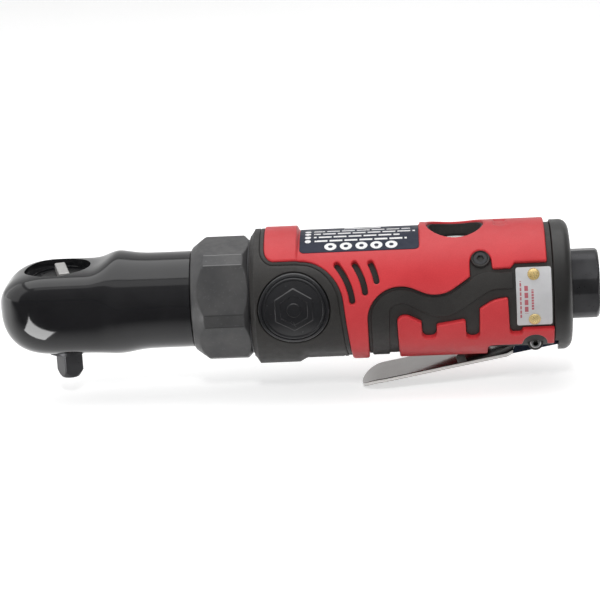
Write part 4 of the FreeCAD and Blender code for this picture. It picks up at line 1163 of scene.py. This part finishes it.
def inlet_fitting():
    low, high = box_mm("inlet_bushing")
    facets = [(INLET_FLAT, radians(INLET_TURN) + index * pi / 3) for index in range(6)]
    envelope = [(low.x, 8.0), (INLET_X0, 8.0), (INLET_X0 + 0.02, INLET_R), (165.6, INLET_R),
                (high.x - 0.2, 10.45), (high.x, 10.1)]
    stations = [low.x, INLET_X0 - 0.02, INLET_X0] + np.linspace(INLET_X0 + 0.02, high.x, 41).tolist()
    pitch = 1.337
    bore = [(high.x, 6.5), (high.x - 0.8, 5.75)]
    x = high.x - 1.2
    while x > 155:
        bore += [(x, 5.95), (x - pitch / 2, 5.74)]
        x -= pitch
    bore += [(153.5, 5.74), (153.5, 5.25), (152.8, 5.25), (152.8, 4.2), (low.x, 4.2)]
    faceted("inlet_fitting", "black_steel", stations, facets, envelope, bore, "inlet_bushing")


def prism(outline, x0, x1):
    """Cutter along X over an outline of (y, z)."""
    return ring_mesh("cutter", [[(x, y, z) for y, z in outline] for x in (x0, x1)], [])


def rear_cap():
    """Rounded rear cap with twelve exhaust slots and the notch for the lever."""
    low, high = box_mm("exhaust_cap")
    outer = []
    corners = [(17.25, low.x), (20.2, low.x), (20.2, 157.35), (13.5, high.x), (10.0, high.x),
               (10.0, 156.3)]
    radii = [0, 0.35, 2.9, 2.0, 0.3, 0]
    for index, (corner, radius) in enumerate(zip(corners, radii)):
        if radius:
            fillet(outer, corner, corners[index - 1], corners[index + 1], radius, 8)
        else:
            outer.append(corner)
    outer.append((17.25, 156.3))
    piece = lathe("rear_cap", outer, along_x, ["black_plastic"], 192, loop=True, sharp=40)
    slot = rectangle(11.6, 15.2, -1.2, 1.2, 1.1, 4)
    cutters = []
    for index in range(12):
        c = cos((index + 0.5) * pi / 6)
        s = sin((index + 0.5) * pi / 6)
        cutters.append(prism([(r * c - t * s, r * s + t * c) for r, t in slot], 155.0, 160.0))
    for half, roof, x0, x1 in ((7.6, -15.6, 150.0, 155.2), (15.0, -13.4, 150.1, low.x + 1.3)):
        cutters.append(prism([(-half, -30), (half, -30), (half, roof), (-half, roof)], x0, x1))
    cut_away(piece, cutters)
    place_piece(piece, "exhaust_cap")


# ---- lever
PIVOT_X = 146.2
PIVOT_Z = -15.0
LEVER_REST = radians(10.26)
SHEET = 1.25
PLATE_TOP = PIVOT_Z - 2.44


def lever_rest(x, y, z):
    """Swing a point of the squeezed lever out to its place at rest."""
    dx, dz = x - PIVOT_X, z - PIVOT_Z
    c, s = cos(LEVER_REST), sin(LEVER_REST)
    return (PIVOT_X + dx * c - dz * s, y, PIVOT_Z + dx * s + dz * c)


def lever():
    """Bent sheet-steel lever: a plate with a rolled front lip and two cheeks round the pin."""
    tip, bend, rear, wide, neck = 90.4, 97.0, 146.0, 8.5, 6.65
    plan = rounded([(tip, -wide, 8.2), (136.8, -wide, 0.8), (138.6, -neck, 0.8), (rear, -neck, 0.3),
                    (rear, neck, 0.3), (138.6, neck, 0.8), (136.8, wide, 0.8), (tip, wide, 8.2)])

    def plate_surface(x, y, drop, floor):
        curl = -1.9 * np.clip((bend - x) / (bend - tip), 0, 1) ** 2
        height = PLATE_TOP + curl + np.where(floor, -SHEET + drop, -drop)
        return np.array([lever_rest(*point) for point in zip(x, y, height)])
    plates = [raised_patch("plate", [plan], 1.2, 0.22, plate_surface,
                           ["polished_steel", "cut_edge", "blued_steel"], wall_material=1, sharp=40)]
    low_z = PLATE_TOP - SHEET
    cheek = rounded([(138.2, low_z, 0.4), (140.6, -14.6, 2), (142.8, -11.7, 2.2), (149.6, -11.7, 2.2),
                     (151.4, -16.0, 0.8), (153.7, -17.6, 0.5), (153.7, low_z, 0.5)])
    hole = circle(48, 1.75, (PIVOT_X, PIVOT_Z))
    for side in (-1, 1):
        def cheek_surface(x, z, drop, floor, side=side):
            depth = np.where(floor, 5.45 + drop, 6.7 - drop)
            return np.array([lever_rest(a, side * b, c) for a, b, c in zip(x, depth, z)])
        plates.append(raised_patch("cheek", [cheek, hole], 1.0, 0.2, cheek_surface, ["blued_steel"]))
    place_piece(join("squeeze_lever", plates), "throttle_lever", "lever")


head()
clamp_nut()
inlet_fitting()
rear_cap()
lever()


# ---- stage, light and camera
CAMERA_YAW = radians(3.01)
CAMERA_RISE = radians(17.0)
CAMERA_ROLL = radians(3.18)
CAMERA_DISTANCE = 0.75
CAMERA_LENS = 144.0
CAMERA_AIM = (0.0738, 0.0, -0.00188)
FLOOR_GAP = 0.0004                 # floor below the lowest point, metres


def floor_paper():
    """Pale paper with some emission for the camera; in reflections it carries painted shade that darkens
    towards the camera side and a painted glow behind the tool.
    """
    made = Finish("floor_paper", Roughness=0.85, Specular_IOR_Level=0.1)
    behind = made.span(made.parts(made.point)[1], -70, 5, curve="SMOOTHSTEP")
    direct = made.node("LightPath")["Is Camera Ray"]
    mirrored = made.node("LightPath")["Is Glossy Ray"]
    paper = made.mix(made.noise(0.004, 2), (0.66, 0.66, 0.66), (0.7, 0.7, 0.7))
    # painted reflection: glossy rays see the floor dark towards the camera and bright behind it, where it
    # also glows
    shade = made.mix(behind, (0.05, 0.05, 0.05), (0.8, 0.8, 0.8))
    made.tone(mirrored, paper, shade)
    made.set("Emission_Color", (1, 1, 1))
    glow = made.times(mirrored, behind, 0.5)
    made.set("Emission_Strength", made.calc("MULTIPLY_ADD", direct, 0.55, glow))
    return made.material


def floor_and_backdrop(level):
    """Pale floor that curves up into a backdrop behind the tool."""
    sweep_x = 2.5
    front, bend, radius, top = -1.2, 1.0, 0.5, 1.6
    profile = [(front, 0.0), (bend, 0.0)]
    for step in range(1, 13):
        angle = pi / 2 * step / 12
        profile.append((bend + radius * sin(angle), radius - radius * cos(angle)))
    profile.append((bend + radius, top))
    points = []
    for y, z in profile:
        points.append((-sweep_x, y, z + level))
        points.append((sweep_x, y, z + level))
    faces = [(2 * k, 2 * k + 1, 2 * k + 3, 2 * k + 2) for k in range(len(profile) - 1)]
    mesh = bpy.data.meshes.new("floor")
    mesh.from_pydata(points, [], faces)
    mesh.materials.append(floor_paper())
    mesh.shade_smooth()
    add_object("floor", mesh)


def softbox(name, place, aim, width, height, radiance, mirrored=True, spreads=True, roll=0.0):
    """Rectangular lamp of the given brightness, hidden from the camera itself.
    mirrored: shows in reflections; spreads: lights matt surfaces."""
    lamp = bpy.data.lights.new(name, "AREA")
    lamp.shape = "RECTANGLE"
    lamp.size = width
    lamp.size_y = height
    lamp.energy = radiance * pi * width * height
    holder = add_object(name, lamp)
    holder.location = place
    facing = (Vector(aim) - Vector(place)).to_track_quat("-Z", "Y")
    holder.rotation_euler = (facing @ Quaternion((0, 0, 1), radians(roll))).to_euler()
    holder.visible_camera = False
    holder.visible_glossy = mirrored
    holder.visible_diffuse = spreads


def surroundings():
    """Dim room, brighter behind and above; white to the camera."""
    world = bpy.data.worlds.new("room")
    bpy.context.scene.world = world
    world.use_nodes = True
    room = Nodes(world.node_tree)
    _, y, z = room.parts(room.node("TexCoord")["Generated"])
    above = room.calc("MULTIPLY_ADD", room.calc("MAXIMUM", z), 0.25, 0.09)
    light = room.calc("MULTIPLY_ADD", room.calc("MAXIMUM", y), 0.45, above)
    room.put(room.tree.nodes["Background"].inputs["Strength"],
             room.calc("ADD", light, room.node("LightPath")["Is Camera Ray"]))
    room.put(room.tree.nodes["Background"].inputs["Color"], (1, 1, 1))


def camera(centre):
    """Long lens a little above the near side, slightly rolled."""
    a, e = CAMERA_YAW, CAMERA_RISE
    forward = Vector((-sin(a) * cos(e), cos(a) * cos(e), -sin(e)))
    level_right = Vector((cos(a), sin(a), 0))
    level_up = level_right.cross(forward)
    right = cos(CAMERA_ROLL) * level_right - sin(CAMERA_ROLL) * level_up
    up = right.cross(forward)
    place = centre - forward * CAMERA_DISTANCE
    data = bpy.data.cameras.new("camera")
    data.lens = CAMERA_LENS
    data.sensor_width = 36.0
    holder = add_object("camera", data)
    turn = Matrix((right, up, -forward)).transposed().to_4x4()
    holder.matrix_world = Matrix.Translation(place) @ turn
    bpy.context.scene.camera = holder


floor_z = cad_low[2] - FLOOR_GAP
middle = (Vector(cad_low) + Vector(cad_high)) / 2
floor_and_backdrop(floor_z)
surroundings()
softbox("overhead", (middle.x, 0.12, 0.7), (middle.x, 0.12, 0), 1.1, 0.8, 1.5)
softbox("overhead_edge", (middle.x, -0.42, 0.68), (middle.x, 0, 0), 0.9, 0.22, 0.6)
softbox("key", (middle.x + 0.035, -0.64, 0.5), (middle.x, 0, 0), 0.08, 0.12, 90, mirrored=False)
softbox("fill", (middle.x, -0.6, 0.12), (middle.x, 0, -0.01), 1.0, 0.3, 1.3, mirrored=False)
softbox("nose_side", (-0.45, 0.02, 0.14), (0, 0, 0), 0.65, 0.6, 0.8)
softbox("nose_glow", (-0.0188, -0.0329, -0.0185), (-0.012, -0.012, -0.008), 0.023, 0.0145, 8, spreads=False,
        roll=-35)
camera(Vector(CAMERA_AIM))

bpy.context.scene.view_settings.view_transform = "Standard"
